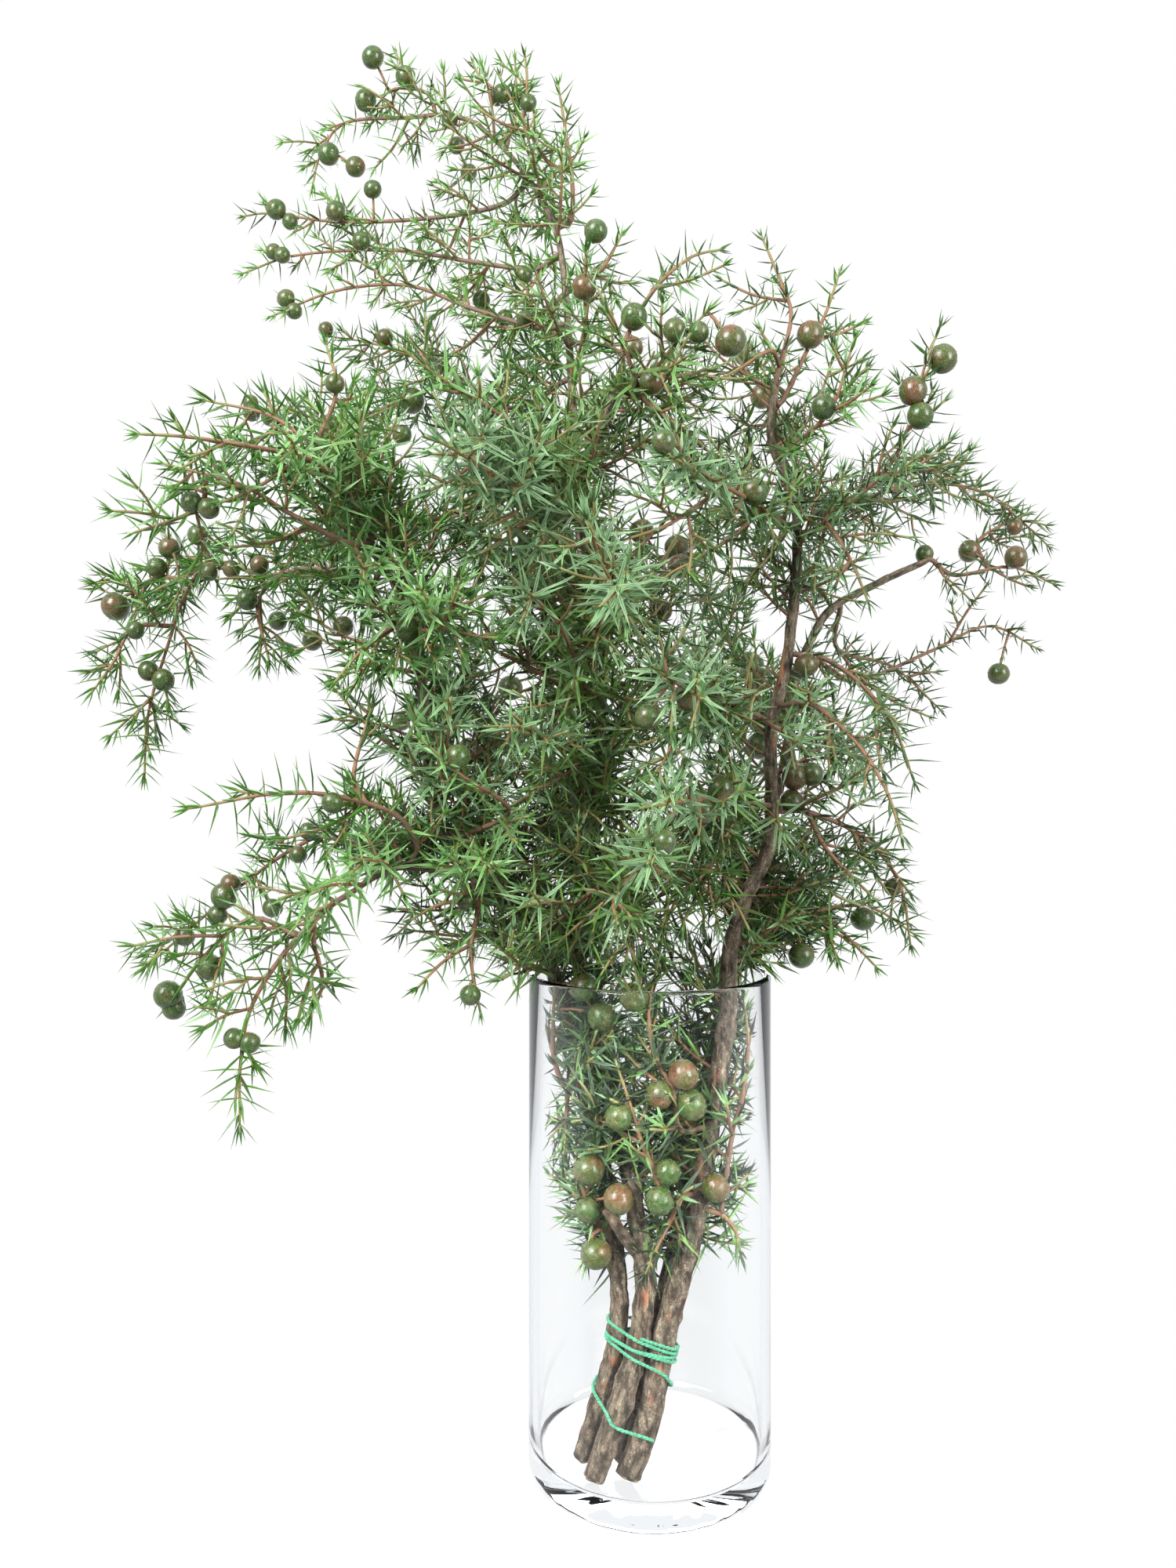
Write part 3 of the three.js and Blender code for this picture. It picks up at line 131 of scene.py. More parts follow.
# Each leafy spray: its branch, how leafy it is beside the rest of its set, the points that each of its
# twigs passes through, and its berries as place and diameter.
SPRAYS = {
    "crown_tip": ("middle", 1.3, [
        [(-94, 80, 608), (-113, 86, 610), (-145, 94, 612), (-158, 97, 599), (-163, 98, 581)],
        [(-104, 84, 621), (-121, 88, 625), (-130, 90, 617)],
    ], [(-130, 84, 638, 11), (-114, 83, 633, 10), (-136, 86, 620, 11), (-151, 93, 595, 11),
        (-140, 92, 589, 10), (-93, 76, 602, 8)]),
    "crown_up": ("middle", 0.6, [
        [(-56, 64, 598), (-54, 62, 613), (-55, 60, 626)],
        [(-66, 70, 612), (-77, 76, 624), (-81, 80, 633)],
    ], [(-66, 66, 610, 9), (-72, 66, 607, 8), (-53, 59, 602, 8)]),
    "crown_side": ("middle", 0.85, [
        [(-33, 50, 543), (-33, 46, 563), (-39, 42, 601)],
        [(-44, 46, 568), (-56, 44, 588), (-64, 44, 602)],
    ], []),
    "crown_low_a": ("middle", 0.85, [
        [(-66, 64, 557), (-95, 74, 556), (-144, 86, 559), (-183, 98, 569), (-198, 101, 569)],
    ], [(-129, 78, 571, 9), (-179, 92, 568, 10), (-148, 83, 564, 10), (-175, 90, 557, 8)]),
    "crown_low_b": ("middle", 1.3, [
        [(-51, 58, 524), (-81, 68, 532), (-119, 76, 541), (-167, 86, 543), (-196, 93, 537)],
    ], [(-180, 85, 548, 8), (-174, 84, 542, 8), (-134, 75, 545, 9), (-56, 56, 518, 8)]),
    "crown_low_c": ("middle", 1.2, [
        [(-47, 46, 492), (-79, 56, 505), (-110, 64, 519), (-145, 70, 519), (-178, 76, 509)],
    ], [(-170, 70, 518, 9), (-165, 70, 508, 8), (-54, 45, 496, 8)]),
    "crown_back": ("middle", 0.6, [
        [(-63, 70, 501), (-82, 92, 533), (-85, 104, 562), (-85, 112, 592)],
    ], [(-92, 108, 608, 9), (-87, 108, 600, 9), (-77, 81, 519, 9), (-65, 72, 507, 8)]),
    "upper_mid_a": ("middle", 0.6, [
        [(-26, 36, 484), (-27, 20, 499), (-26, 12, 519)],
        [(-19, 14, 506), (-11, 16, 521)],
    ], [(-20, 8, 520, 10), (-27, 15, 498, 11)]),
    "upper_mid_b": ("middle", 0.35, [
        [(-11, -14, 463), (1, -16, 484), (16, -14, 498), (29, -10, 503)],
    ], [(-7, -19, 472, 11), (-3, -18, 459, 9)]),
    "upper_mid_c": ("middle", 0.9, [
        [(-7, -30, 438), (7, -48, 450), (19, -56, 460)],
        [(-8, -38, 443), (-14, -46, 456), (-22, -52, 470)],
        [(2, -38, 428), (14, -42, 418), (26, -42, 406)],
    ], [(6, -54, 454, 9), (17, -56, 450, 8), (27, -58, 448, 12), (-1, -40, 439, 10)]),
    "upper_right_a": ("right", 0.28, [
        [(60, 6, 481), (57, 8, 495), (48, 10, 518)],
        [(50, -4, 464), (38, -8, 456), (24, -12, 447)],
    ], []),
    "upper_right_b": ("right", 0.3, [
        [(68, 14, 470), (77, 18, 488), (84, 22, 508)],
    ], [(69, 11, 476, 12)]),
    "upper_right_c": ("right", 0.75, [
        [(61, -12, 425), (71, -26, 434), (79, -30, 460)],
    ], [(67, -28, 433, 10)]),
    "upper_right_back": ("right", 0.5, [
        [(63, 44, 434), (64, 76, 469), (56, 96, 503)],
    ], [(48, 90, 496, 12), (53, 75, 471, 12)]),
    "upper_left_front": ("middle", 1.25, [
        [(-41, -38, 409), (-57, -66, 418), (-77, -84, 426), (-91, -88, 436)],
        [(-52, -34, 398), (-72, -28, 392), (-92, -26, 386)],
    ], []),
    "upper_left_back": ("middle", 1.15, [
        [(-62, 66, 462), (-95, 88, 488), (-132, 104, 506), (-157, 112, 513)],
        [(-107, 94, 478), (-130, 100, 472), (-152, 104, 462)],
    ], [(-162, 108, 521, 8), (-126, 99, 512, 9), (-112, 88, 472, 13)]),
    "left_top": ("left", 1, [
        [(-136, -16, 421), (-156, -8, 436), (-184, -2, 444)],
        [(-126, -20, 442), (-131, -16, 462)],
    ], [(-126, -23, 444, 8)]),
    "left_mid": ("left", 0.85, [
        [(-128, -52, 405), (-142, -66, 406), (-167, -74, 408), (-184, -78, 408)],
    ], []),
    "left_long": ("left", 1.25, [
        [(-117, -48, 376), (-136, -58, 385), (-152, -62, 394), (-182, -58, 403)],
        [(-172, -50, 388), (-200, -40, 381)],
    ], [(-173, -53, 390, 8), (-166, -54, 387, 8)]),
    "left_fork": ("left", 1.15, [
        [(-116, -12, 365), (-140, 2, 375), (-163, 12, 374), (-187, 20, 381), (-200, 24, 370),
         (-210, 26, 344), (-218, 26, 316), (-219, 24, 288)],
        [(-217, 34, 377), (-234, 42, 370), (-249, 46, 374)],
        [(-223, 22, 353), (-229, 16, 338), (-237, 12, 324)],
        [(-164, 4, 361), (-157, -4, 335)],
    ], [(-238, 38, 363, 13), (-171, 0, 363, 9), (-219, 22, 335, 9), (-209, 22, 330, 10),
        (-210, 30, 389, 10), (-216, 30, 381, 9), (-193, 16, 392, 9), (-178, 14, 377, 8), (-165, 10, 382, 8),
        (-220, 18, 351, 8), (-188, 18, 372, 8)]),
    "left_drop": ("left", 1.7, [
        [(-98, -44, 345), (-110, -54, 334), (-119, -58, 322)],
        [(-80, -62, 342), (-69, -84, 357)],
    ], [(-93, -48, 343, 10)]),
    "left_back": ("left", 1.15, [
        [(-119, 14, 406), (-136, 44, 434), (-159, 70, 460), (-187, 88, 469)],
        [(-145, 40, 391), (-167, 56, 361)],
        [(-104, 14, 398), (-86, 28, 402), (-66, 38, 412)],
    ], [(-193, 84, 473, 8), (-191, 84, 464, 9), (-181, 80, 457, 9), (-145, 57, 452, 9), (-109, 40, 442, 9),
        (-137, 48, 357, 10), (-152, 52, 351, 10), (-168, 52, 360, 9)]),
    "low_left_main": ("left", 1.2, [
        [(-124, -46, 238), (-139, -50, 222), (-151, -52, 202), (-155, -52, 182), (-156, -50, 157)],
        [(-153, -44, 234), (-172, -38, 220), (-186, -34, 202)],
        [(-130, -42, 224), (-128, -36, 208), (-134, -32, 194)],
    ], [(-166, -41, 210, 10), (-187, -38, 204, 11), (-185, -38, 196, 9), (-157, -56, 191, 8),
        (-149, -56, 189, 8)]),
    "low_left_top": ("left", 0.7, [
        [(-91, -40, 262), (-100, -52, 275), (-132, -60, 282), (-171, -64, 276)],
        [(-114, -46, 289), (-108, -40, 316)],
    ], [(-119, -61, 278, 8)]),
    "low_left_mid": ("left", 1, [
        [(-94, -2, 263), (-127, 16, 266), (-152, 24, 258), (-180, 30, 239), (-209, 34, 215),
         (-223, 36, 203)],
    ], [(-149, 19, 269, 8), (-150, 20, 251, 8), (-183, 26, 242, 9), (-185, 27, 236, 12), (-187, 27, 225, 9),
        (-163, 24, 231, 9), (-203, 29, 218, 9)]),
    "low_left_drop": ("left", 0.35, [
        [(-68, -36, 237), (-70, -44, 220), (-66, -48, 199)],
        [(-80, -46, 240), (-92, -50, 234)],
    ], [(-70, -51, 206, 8), (-72, -40, 240, 8)]),
    "right_high": ("right", 1.55, [
        [(78, -6, 398), (95, -10, 412), (104, -12, 428), (111, -14, 455), (117, -14, 470)],
        [(103, -20, 410), (118, -26, 421)],
        [(74, -16, 386), (80, -22, 372), (86, -24, 356)],
    ], [(120, -18, 455, 12), (105, -17, 443, 12), (108, -17, 433, 11)]),
    "right_long": ("right", 1.35, [
        [(89, 30, 410), (131, 56, 424), (165, 78, 425), (194, 97, 412), (206, 103, 404)],
    ], []),
    "right_far": ("back", 0.4, [
        [(145, 58, 382), (175, 70, 388), (200, 79, 381)],
        [(162, 76, 402), (190, 90, 418)],
    ], [(156, 72, 396, 11), (176, 66, 392, 11), (183, 82, 408, 8), (123, 54, 396, 9)]),
    "right_thin": ("back", 0.25, [
        [(96, 48, 332), (137, 70, 348), (170, 86, 362), (199, 98, 352)],
    ], [(175, 87, 339, 11)]),
    "right_arch": ("right", 1, [
        [(71, -6, 337), (85, -8, 327), (99, -8, 310), (109, -6, 285)],
    ], [(63, -10, 330, 10)]),
    "right_arch_front": ("right", 1.2, [
        [(64, -26, 316), (77, -44, 300), (86, -52, 282), (91, -54, 265)],
    ], []),
    "right_low": ("right", 1.3, [
        [(67, -4, 273), (91, 4, 262), (107, 10, 242), (112, 12, 216)],
        [(70, -14, 260), (80, -20, 248), (90, -22, 238)],
    ], [(59, -8, 288, 11), (66, -8, 289, 10), (54, -8, 278, 10), (101, 6, 240, 8)]),
    "right_low_spray": ("right", 1, [
        [(60, 6, 230), (85, 22, 232), (103, 34, 229), (122, 42, 217)],
        [(82, 14, 223), (97, 8, 207)],
    ], [(95, 27, 226, 11), (64, 4, 213, 11)]),
    "right_back": ("back", 0.45, [
        [(92, 64, 348), (126, 96, 343), (156, 118, 323)],
    ], []),
    "front_crest": ("middle", 1, [
        [(-26, -34, 322), (-36, -62, 343), (-53, -84, 357)],
        [(-40, -32, 326), (-56, -36, 334), (-74, -40, 342)],
    ], []),
    "front_left": ("middle", 1, [
        [(-30, -32, 290), (-43, -62, 304), (-62, -86, 305)],
    ], []),
    "front_low_left": ("left", 0.4, [
        [(-55, -50, 275), (-72, -70, 289), (-84, -80, 301)],
    ], [(-70, -74, 296, 9)]),
    "front_star": ("middle", 1, [
        [(-18, -44, 353), (-15, -84, 350), (-17, -122, 348)],
        [(-21, -70, 364), (-26, -96, 375)],
    ], []),
    "front_star_low": ("middle", 1, [
        [(-13, -36, 249), (-4, -76, 257), (-4, -108, 265)],
        [(-16, -66, 243), (-15, -84, 236)],
        [(-16, -44, 240), (-8, -48, 230), (2, -54, 221)],
        [(-24, -42, 244), (-36, -46, 234), (-48, -48, 222)],
    ], [(4, -110, 268, 8)]),
    "front_right": ("right", 1, [
        [(29, -40, 279), (10, -78, 279), (-9, -106, 277)],
        [(24, -46, 266), (20, -48, 248), (24, -50, 230)],
        [(16, -52, 266), (8, -50, 246), (12, -46, 226)],
    ], [(25, -49, 285, 10), (16, -66, 274, 9)]),
    "front_right_up": ("right", 1.4, [
        [(32, -40, 315), (10, -78, 318), (-5, -104, 324)],
        [(20, -54, 308), (4, -58, 303), (-10, -58, 298)],
    ], [(10, -76, 315, 9), (-5, -89, 308, 9)]),
    "front_high": ("right", 1, [
        [(38, -36, 394), (18, -72, 394), (0, -104, 394)],
        [(16, -60, 388), (2, -66, 378), (-14, -70, 372)],
    ], [(38, -40, 397, 11), (-1, -106, 399, 8)]),
    "front_upper_left": ("middle", 1.5, [
        [(-43, -44, 389), (-61, -84, 394), (-74, -112, 396)],
    ], []),
    "rear_right": ("back", 1.2, [
        [(58, 70, 322), (42, 112, 365), (25, 142, 411)],
    ], [(55, 86, 344, 13), (58, 77, 336, 13), (53, 66, 310, 13), (55, 66, 303, 13)]),
    "rear_crest": ("middle", 1.2, [
        [(-29, 56, 372), (-45, 104, 411), (-63, 146, 454)],
    ], [(-64, 112, 418, 12), (-75, 127, 425, 10), (-36, 93, 409, 12), (-34, 55, 372, 12),
        (-18, 69, 390, 10)]),
    "rear_left": ("middle", 1.3, [
        [(-43, 50, 278), (-76, 100, 312), (-109, 140, 343)],
        [(-34, 44, 262), (-26, 48, 244), (-22, 54, 228)],
    ], [(-124, 134, 318, 10), (-64, 98, 333, 13), (-84, 91, 302, 12)]),
    "rear_mid": ("middle", 0.7, [
        [(3, 44, 377), (32, 86, 407), (55, 118, 438)],
    ], [(-1, 51, 401, 12), (14, 62, 400, 12), (17, 57, 386, 12), (7, 40, 363, 11)]),
    "vase_front": ("right", 1.2, [
        [(10, -34, 151), (7, -36, 167), (0, -37, 181), (-2, -37, 199), (2, -36, 218)],
    ], [(-11, -36, 203, 12), (12, -36, 173, 12), (2, -37, 165, 11), (17, -35, 161, 12)]),
    "vase_front_low": ("right", 1, [
        [(5, -34, 125), (-4, -36, 145), (-9, -36, 161), (-15, -37, 179)],
        [(1, -36, 106), (-3, -37, 97)],
    ], [(-15, -36, 156, 11), (9, -37, 137, 10), (2, -38, 125, 11)]),
    "vase_right": ("right", 0.9, [
        [(26, -26, 116), (32, -25, 109), (34, -25, 99)],
        [(32, -22, 148), (36, -20, 160), (39, -16, 180), (38, -10, 198)],
    ], [(20, -30, 128, 11)]),
    "vase_left": ("left", 1.5, [
        [(-34, -11, 160), (-39, -13, 172), (-39, -17, 190), (-38, -20, 206)],
        [(-35, -4, 133), (-37, -4, 122)],
    ], [(-27, -27, 205, 12), (-20, -24, 192, 12)]),
    "vase_left_low": ("left", 1, [
        [(-23, -28, 109), (-26, -28, 98)],
        [(-28, -25, 127), (-30, -25, 142)],
    ], [(-24, -30, 134, 12), (-15, -32, 122, 12), (-25, -30, 118, 10), (-22, -31, 102, 12)]),
    "vase_back": ("back", 1.2, [
        [(16, 26, 134), (9, 33, 153), (2, 35, 180), (-4, 35, 202), (-6, 30, 222)],
        [(20, 30, 150), (25, 33, 168), (22, 34, 186), (12, 36, 206), (8, 32, 222)],
    ], []),
}

# Sprays whose names start alike share one set of pieces. Each set has the colours that its needles
# draw from, how leafy it is, and its needles' length, to which a spray adds up to 2.5.
REGIONS = {
    "crown": ("backlit", 0.5, 11.5),
    "upper": ("mixed", 0.9, 14),
    "left": ("fresh", 0.7, 14.5),
    "low_left": ("fresh", 0.57, 15),
    "right": ("grey", 0.57, 12.5),
    "front": ("grey", 1.0, 15),
    "rear": ("mixed", 0.9, 14),
    "vase": ("shaded", 0.8, 17),
}

# Rows of the needles' colour map that a set draws from. What stands twice is drawn more often. The rows for
# the plant's middle and for the vase are darker greens, painted shade, and those for the crown are paler
# greens, painted back light.
ROWS = {
    "grey": (0, 1, 2, 3, 4, 5),
    "mixed": (2, 4, 5, 6, 8, 9, 10),
    "fresh": (5, 6, 7, 8, 9, 10, 11, 7),
    "in_shade": (12, 13, 14, 15, 12, 13, 10),
    "shaded": (20, 21, 22, 20, 21, 2, 22, 14),
    "backlit": (16, 17, 18, 19, 11, 7),
}

# Sprays that are greener than the rest of their set.
FRESH_SPRAYS = ("right_low_spray", "front_low_left", "low_left_drop")

# Where small leafy shoots leave the wood: the branch, its limb, the heights between which they do, the
# set that they belong to and the step between them. Some may not take every way: then the least and
# the most of it follow.
STEM_SHOOTS = [
    ("right", 0, 90, 205, "vase", 5, (-1, -0.3, -1), (0.5, 1, 1)),
    ("back", 0, 88, 205, "vase", 4.5),
    ("middle", 0, 88, 130, "vase", 5, (-0.1, -0.2, -1)),
    ("middle", 0, 130, 205, "vase", 4),
    ("left", 0, 90, 130, "vase", 5, (-1, -1, -1), (0.1, 1, 1)),
    ("left", 0, 130, 205, "vase", 4),
    ("right", 0, 208, 250, "front", 3, (-1, -0.5, -1)),
    ("back", 0, 208, 240, "front", 3, (-0.3, -1, -1)),
    ("right", 0, 212, 330, "right", 12, (-1, -0.1, -1)),
    ("right", 0, 330, 352, "right", 6, (-1, -0.8, -1), (0.45, 1, 1)),
    ("right", 0, 352, 400, "right", 5, (-1, -0.8, -1)),
    ("right", 0, 400, 455, "right", 5, (-1, -0.8, -1)),
    ("back", 0, 205, 330, "rear", 7),
    ("back", 0, 352, 380, "right", 14, (-1, -0.2, 0.2)),
    ("middle", 0, 205, 372, "front", 3.4),
    ("middle", 0, 395, 451, "upper", 5),
    ("middle", 1, 335, 480, "upper", 7),
    ("middle", 1, 480, 600, "crown", 7, (-1, -0.8, -1), (0.6, 1, 1)),
    ("left", 0, 205, 300, "front", 3.2),
    ("left", 0, 300, 406, "left", 3.6),
    ("left", 1, 200, 236, "low_left", 4, (-1, -1, -0.2)),
    ("left", 1, 236, 280, "low_left", 4.4, (-1, -1, -0.3)),
]


def seeded(seed):
    """The same draws between 0 and 1 as the solids' own rule makes."""
    state = seed

    def draw():
        nonlocal state
        state = (state * 16807) % 2147483647
        return state / 2147483647
    return draw


class Route:
    """A smooth curve through given points, measured along its length."""

    def __init__(self, points):
        points = [Vector(p) for p in points]
        first = points[0] * 2 - points[1]
        last = points[-1] * 2 - points[-2]
        padded = [first, *points, last]
        self.points = []
        for i in range(1, len(padded) - 2):
            a, b, c, d = padded[i - 1:i + 3]
            for k in range(12):
                t = k / 12
                m, n = (c - a) / 2, (d - b) / 2
                self.points.append(b + m * t + (3 * (c - b) - 2 * m - n) * t * t
                                   + (2 * (b - c) + m + n) * t ** 3)
        self.points.append(points[-1])
        self.marks = [0.0]
        for p, q in zip(self.points, self.points[1:]):
            self.marks.append(self.marks[-1] + (q - p).length)
        self.length = self.marks[-1]
        self.steps = np.array([self.at(s) for s in range(int(self.length) + 1)])

    def at(self, s):
        s = min(max(s, 0), self.length)
        i = bisect(self.marks, s)
        i = min(max(i, 1), len(self.marks) - 1)
        span = self.marks[i] - self.marks[i - 1]
        return self.points[i - 1].lerp(self.points[i], (s - self.marks[i - 1]) / span if span else 0)

    def heading(self, s):
        return (self.at(s + 1) - self.at(s - 1)).normalized()

    def nearest(self, point):
        away = np.linalg.norm(self.steps - np.array(point), axis=1)
        s = int(away.argmin())
        return float(away[s]), s

    def at_height(self, z):
        s = 0
        while s < self.length and self.at(s).z < z:
            s += 0.5
        return s

    def stations(self, count):
        """Even steps along the route, each with two directions across it that don't twist."""
        across, upward = sideways(self.heading(0))
        for k in range(count + 1):
            s = self.length * k / count
            heading = self.heading(s)
            across, upward = carried(across, heading)
            yield s, self.at(s), heading, across, upward


def level_way(turn):
    return Vector((cos(turn), sin(turn), 0))


def sideways(heading):
    reference = SIDEWAYS if abs(heading.z) > 0.9 else UP
    across = heading.cross(reference).normalized()
    return across, across.cross(heading)


def carried(across, heading):
    kept = (across - heading * across.dot(heading)).normalized()
    return kept, kept.cross(heading)


def leaning(across, upward, heading, angle, opened):
    """Directions of what leaves a twig: straight out of it, its own way, and the way its face looks."""
    out = across * cos(angle) - upward * sin(angle)
    way = out * sin(opened) + heading * cos(opened)
    face = heading * sin(opened) - out * cos(opened)
    return out, way, face


class Mesh:
    """Corners, faces and the corners' places on the colour map, gathered for one piece."""

    def __init__(self):
        self.at, self.faces, self.spots = [], [], []

    def add(self, face, *spots):
        self.faces.append(face)
        self.spots += spots

    def ring(self, points):
        first = len(self.at)
        self.at += points
        return list(range(first, first + len(points)))

    def cap(self, loop, spot):
        self.add(tuple(loop), *[spot] * len(loop))

    def walls(self, low, high, v_low, v_high, u_from=0.0, u_to=1.0):
        sides = len(low)
        for i in range(sides):
            j = (i + 1) % sides
            u, w = u_from + (u_to - u_from) * i / sides, u_from + (u_to - u_from) * (i + 1) / sides
            self.add((low[i], low[j], high[j], high[i]), (u, v_low), (w, v_low), (w, v_high), (u, v_high))

    def tube(self, rings, marks, cap_u=0.5, span=(0.0, 1.0)):
        """Rings of points with walls between them and both ends closed, marked along the colour map."""
        loops = [self.ring(points) for points in rings]
        self.cap(loops[0][::-1], (cap_u, marks[0]))
        for low, high, v_low, v_high in zip(loops, loops[1:], marks, marks[1:]):
            self.walls(low, high, v_low, v_high, *span)
        self.cap(loops[-1], (cap_u, marks[-1]))

    def net(self, loops, spot):
        """Faces from each loop down to the next, with a rule for the corners on the colour map."""
        for j, (one, other) in enumerate(zip(loops, loops[1:])):
            for i in range(len(one)):
                n = (i + 1) % len(one)
                self.add((one[i], other[i], other[n], one[n]),
                         spot(i, j), spot(i, j + 1), spot(i + 1, j + 1), spot(i + 1, j))

    def fan(self, pole, loop, spot, j_pole, j_loop, reverse=False):
        """Triangles between one corner and a loop round it, facing the other way if reversed."""
        for i in range(len(loop)):
            one, other = (i + 1, i) if reverse else (i, i + 1)
            self.add((pole, loop[one % len(loop)], loop[other % len(loop)]),
                     spot(i, j_pole), spot(one, j_loop), spot(other, j_loop))


def put_in_scene(name, data, material, nodes):
    """A mesh as one object of the scene, standing for CAD nodes and riding on the part's body."""
    data.materials.append(material)
    piece = bpy.data.objects.new(name, data)
    bpy.context.scene.collection.objects.link(piece)
    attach(piece, "root")
    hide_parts(*nodes)
    return piece


def make_piece(name, mesh, material, nodes):
    data = bpy.data.meshes.new(name)
    data.from_pydata([tuple(c * MM for c in p) for p in mesh.at], [], mesh.faces)
    layer = data.uv_layers.new(name="OFBake")
    layer.data.foreach_set("uv", np.asarray(mesh.spots, dtype=np.float32).ravel())
    data.polygons.foreach_set("use_smooth", [True] * len(data.polygons))
    data.update()
    return put_in_scene(name, data, material, nodes)


def circle(centre, across, upward, radius, sides):
    turns = [tau * i / sides for i in range(sides)]
    return [centre + across * (radius * cos(turn)) + upward * (radius * sin(turn))
            for turn in turns]


# Materials: every colour of a needle, twig, berry or stem comes from its place on the colour map; the stem's
# bark also takes painted shade and light from its relief.

class Nodes:
    """Short calls for the shader nodes of one material, or of the world."""

    def __init__(self, owner):
        owner.use_nodes = True
        self.owner = owner
        self.tree = owner.node_tree
        self.shader = self.tree.nodes.get("Principled BSDF")

    def new(self, kind, **values):
        node = self.tree.nodes.new(kind)
        for key, value in values.items():
            setattr(node, key, value)
        return node

    def link(self, out, into):
        self.tree.links.new(out, into)

    def feed(self, socket, value):
        if isinstance(value, bpy.types.NodeSocket):
            self.link(value, socket)
        else:
            socket.default_value = value

    def math(self, operation, *values):
        node = self.new("ShaderNodeMath", operation=operation)
        for socket, value in zip(node.inputs, values):
            self.feed(socket, value)
        return node.outputs[0]

    def times(self, *values):
        return self.math("MULTIPLY", *values)

    def spot(self):
        """The two coordinates of the colour map."""
        return self.split(self.new("ShaderNodeUVMap", uv_map="OFBake").outputs[0])[:2]

    def split(self, vector):
        node = self.new("ShaderNodeSeparateXYZ")
        self.link(vector, node.inputs[0])
        return node.outputs[:]

    def vector(self, x, y, z):
        node = self.new("ShaderNodeCombineXYZ")
        for socket, value in zip(node.inputs, (x, y, z)):
            self.feed(socket, value)
        return node.outputs[0]

    def round_about(self, u, v, tight, long):
        """A place on a tube whose colour map goes once round, so that no seam shows."""
        angle = self.times(u, tau)
        x = self.times(self.math("COSINE", angle), tight)
        y = self.times(self.math("SINE", angle), tight)
        return self.vector(x, y, self.times(v, long))

    def noise(self, where, scale, detail=3.0, rough=0.55):
        node = self.new("ShaderNodeTexNoise")
        self.link(where, node.inputs["Vector"])
        node.inputs["Scale"].default_value = scale
        node.inputs["Detail"].default_value = detail
        node.inputs["Roughness"].default_value = rough
        return node.outputs["Fac"]

    def ramp(self, fac, stops, interpolation="LINEAR"):
        node = self.new("ShaderNodeValToRGB")
        node.color_ramp.interpolation = interpolation
        marks = node.color_ramp.elements
        marks[0].position, marks[0].color = stops[0][0], (*stops[0][1], 1)
        marks[1].position, marks[1].color = stops[-1][0], (*stops[-1][1], 1)
        for place, colour in stops[1:-1]:
            marks.new(place).color = (*colour, 1)
        self.feed(node.inputs[0], fac)
        return node.outputs[0]

    def grey(self, fac, *stops):
        return self.ramp(fac, [(place, (value,) * 3) for place, value in stops])

    def tones(self, fac, *stops):
        return self.ramp(fac, [(place, shade(*tone)) for place, tone in stops])

    def steps(self, fac, *stops):
        """Plain steps of colour, for the rows or columns of the colour map."""
        fac = self.math("ADD", fac, 0.001)
        return self.ramp(fac, [(place, shade(*tone)) for place, tone in stops], "CONSTANT")

    def mix(self, fac, one, other, blend="MIX"):
        node = self.new("ShaderNodeMix", data_type="RGBA", blend_type=blend)
        self.feed(node.inputs[0], fac)
        for socket, value in ((node.inputs[6], one), (node.inputs[7], other)):
            self.feed(socket, (*value, 1) if isinstance(value, tuple) and len(value) == 3 else value)
        return node.outputs[2]

    def coats(self, colour, *layers):
        """Tones laid over a colour, each where its mask says."""
        for mask, *stops, tone in layers:
            colour = self.mix(self.grey(mask, *stops), colour, shade(*tone))
        return colour

    def finish(self, colour, roughness):
        self.link(colour, self.shader.inputs["Base Color"])
        self.feed(self.shader.inputs["Roughness"], roughness)

    def bump(self, height, strength, distance):
        node = self.new("ShaderNodeBump")
        node.inputs["Strength"].default_value = strength
        node.inputs["Distance"].default_value = distance
        self.link(height, node.inputs["Height"])
        self.link(node.outputs[0], self.shader.inputs["Normal"])


def shade(*channels):
    """A colour written as on screen, 0 to 255, in the shader's linear scale."""
    return tuple(((c / 255 + 0.055) / 1.055) ** 2.4 if c > 10 else c / 255 / 12.92 for c in channels)


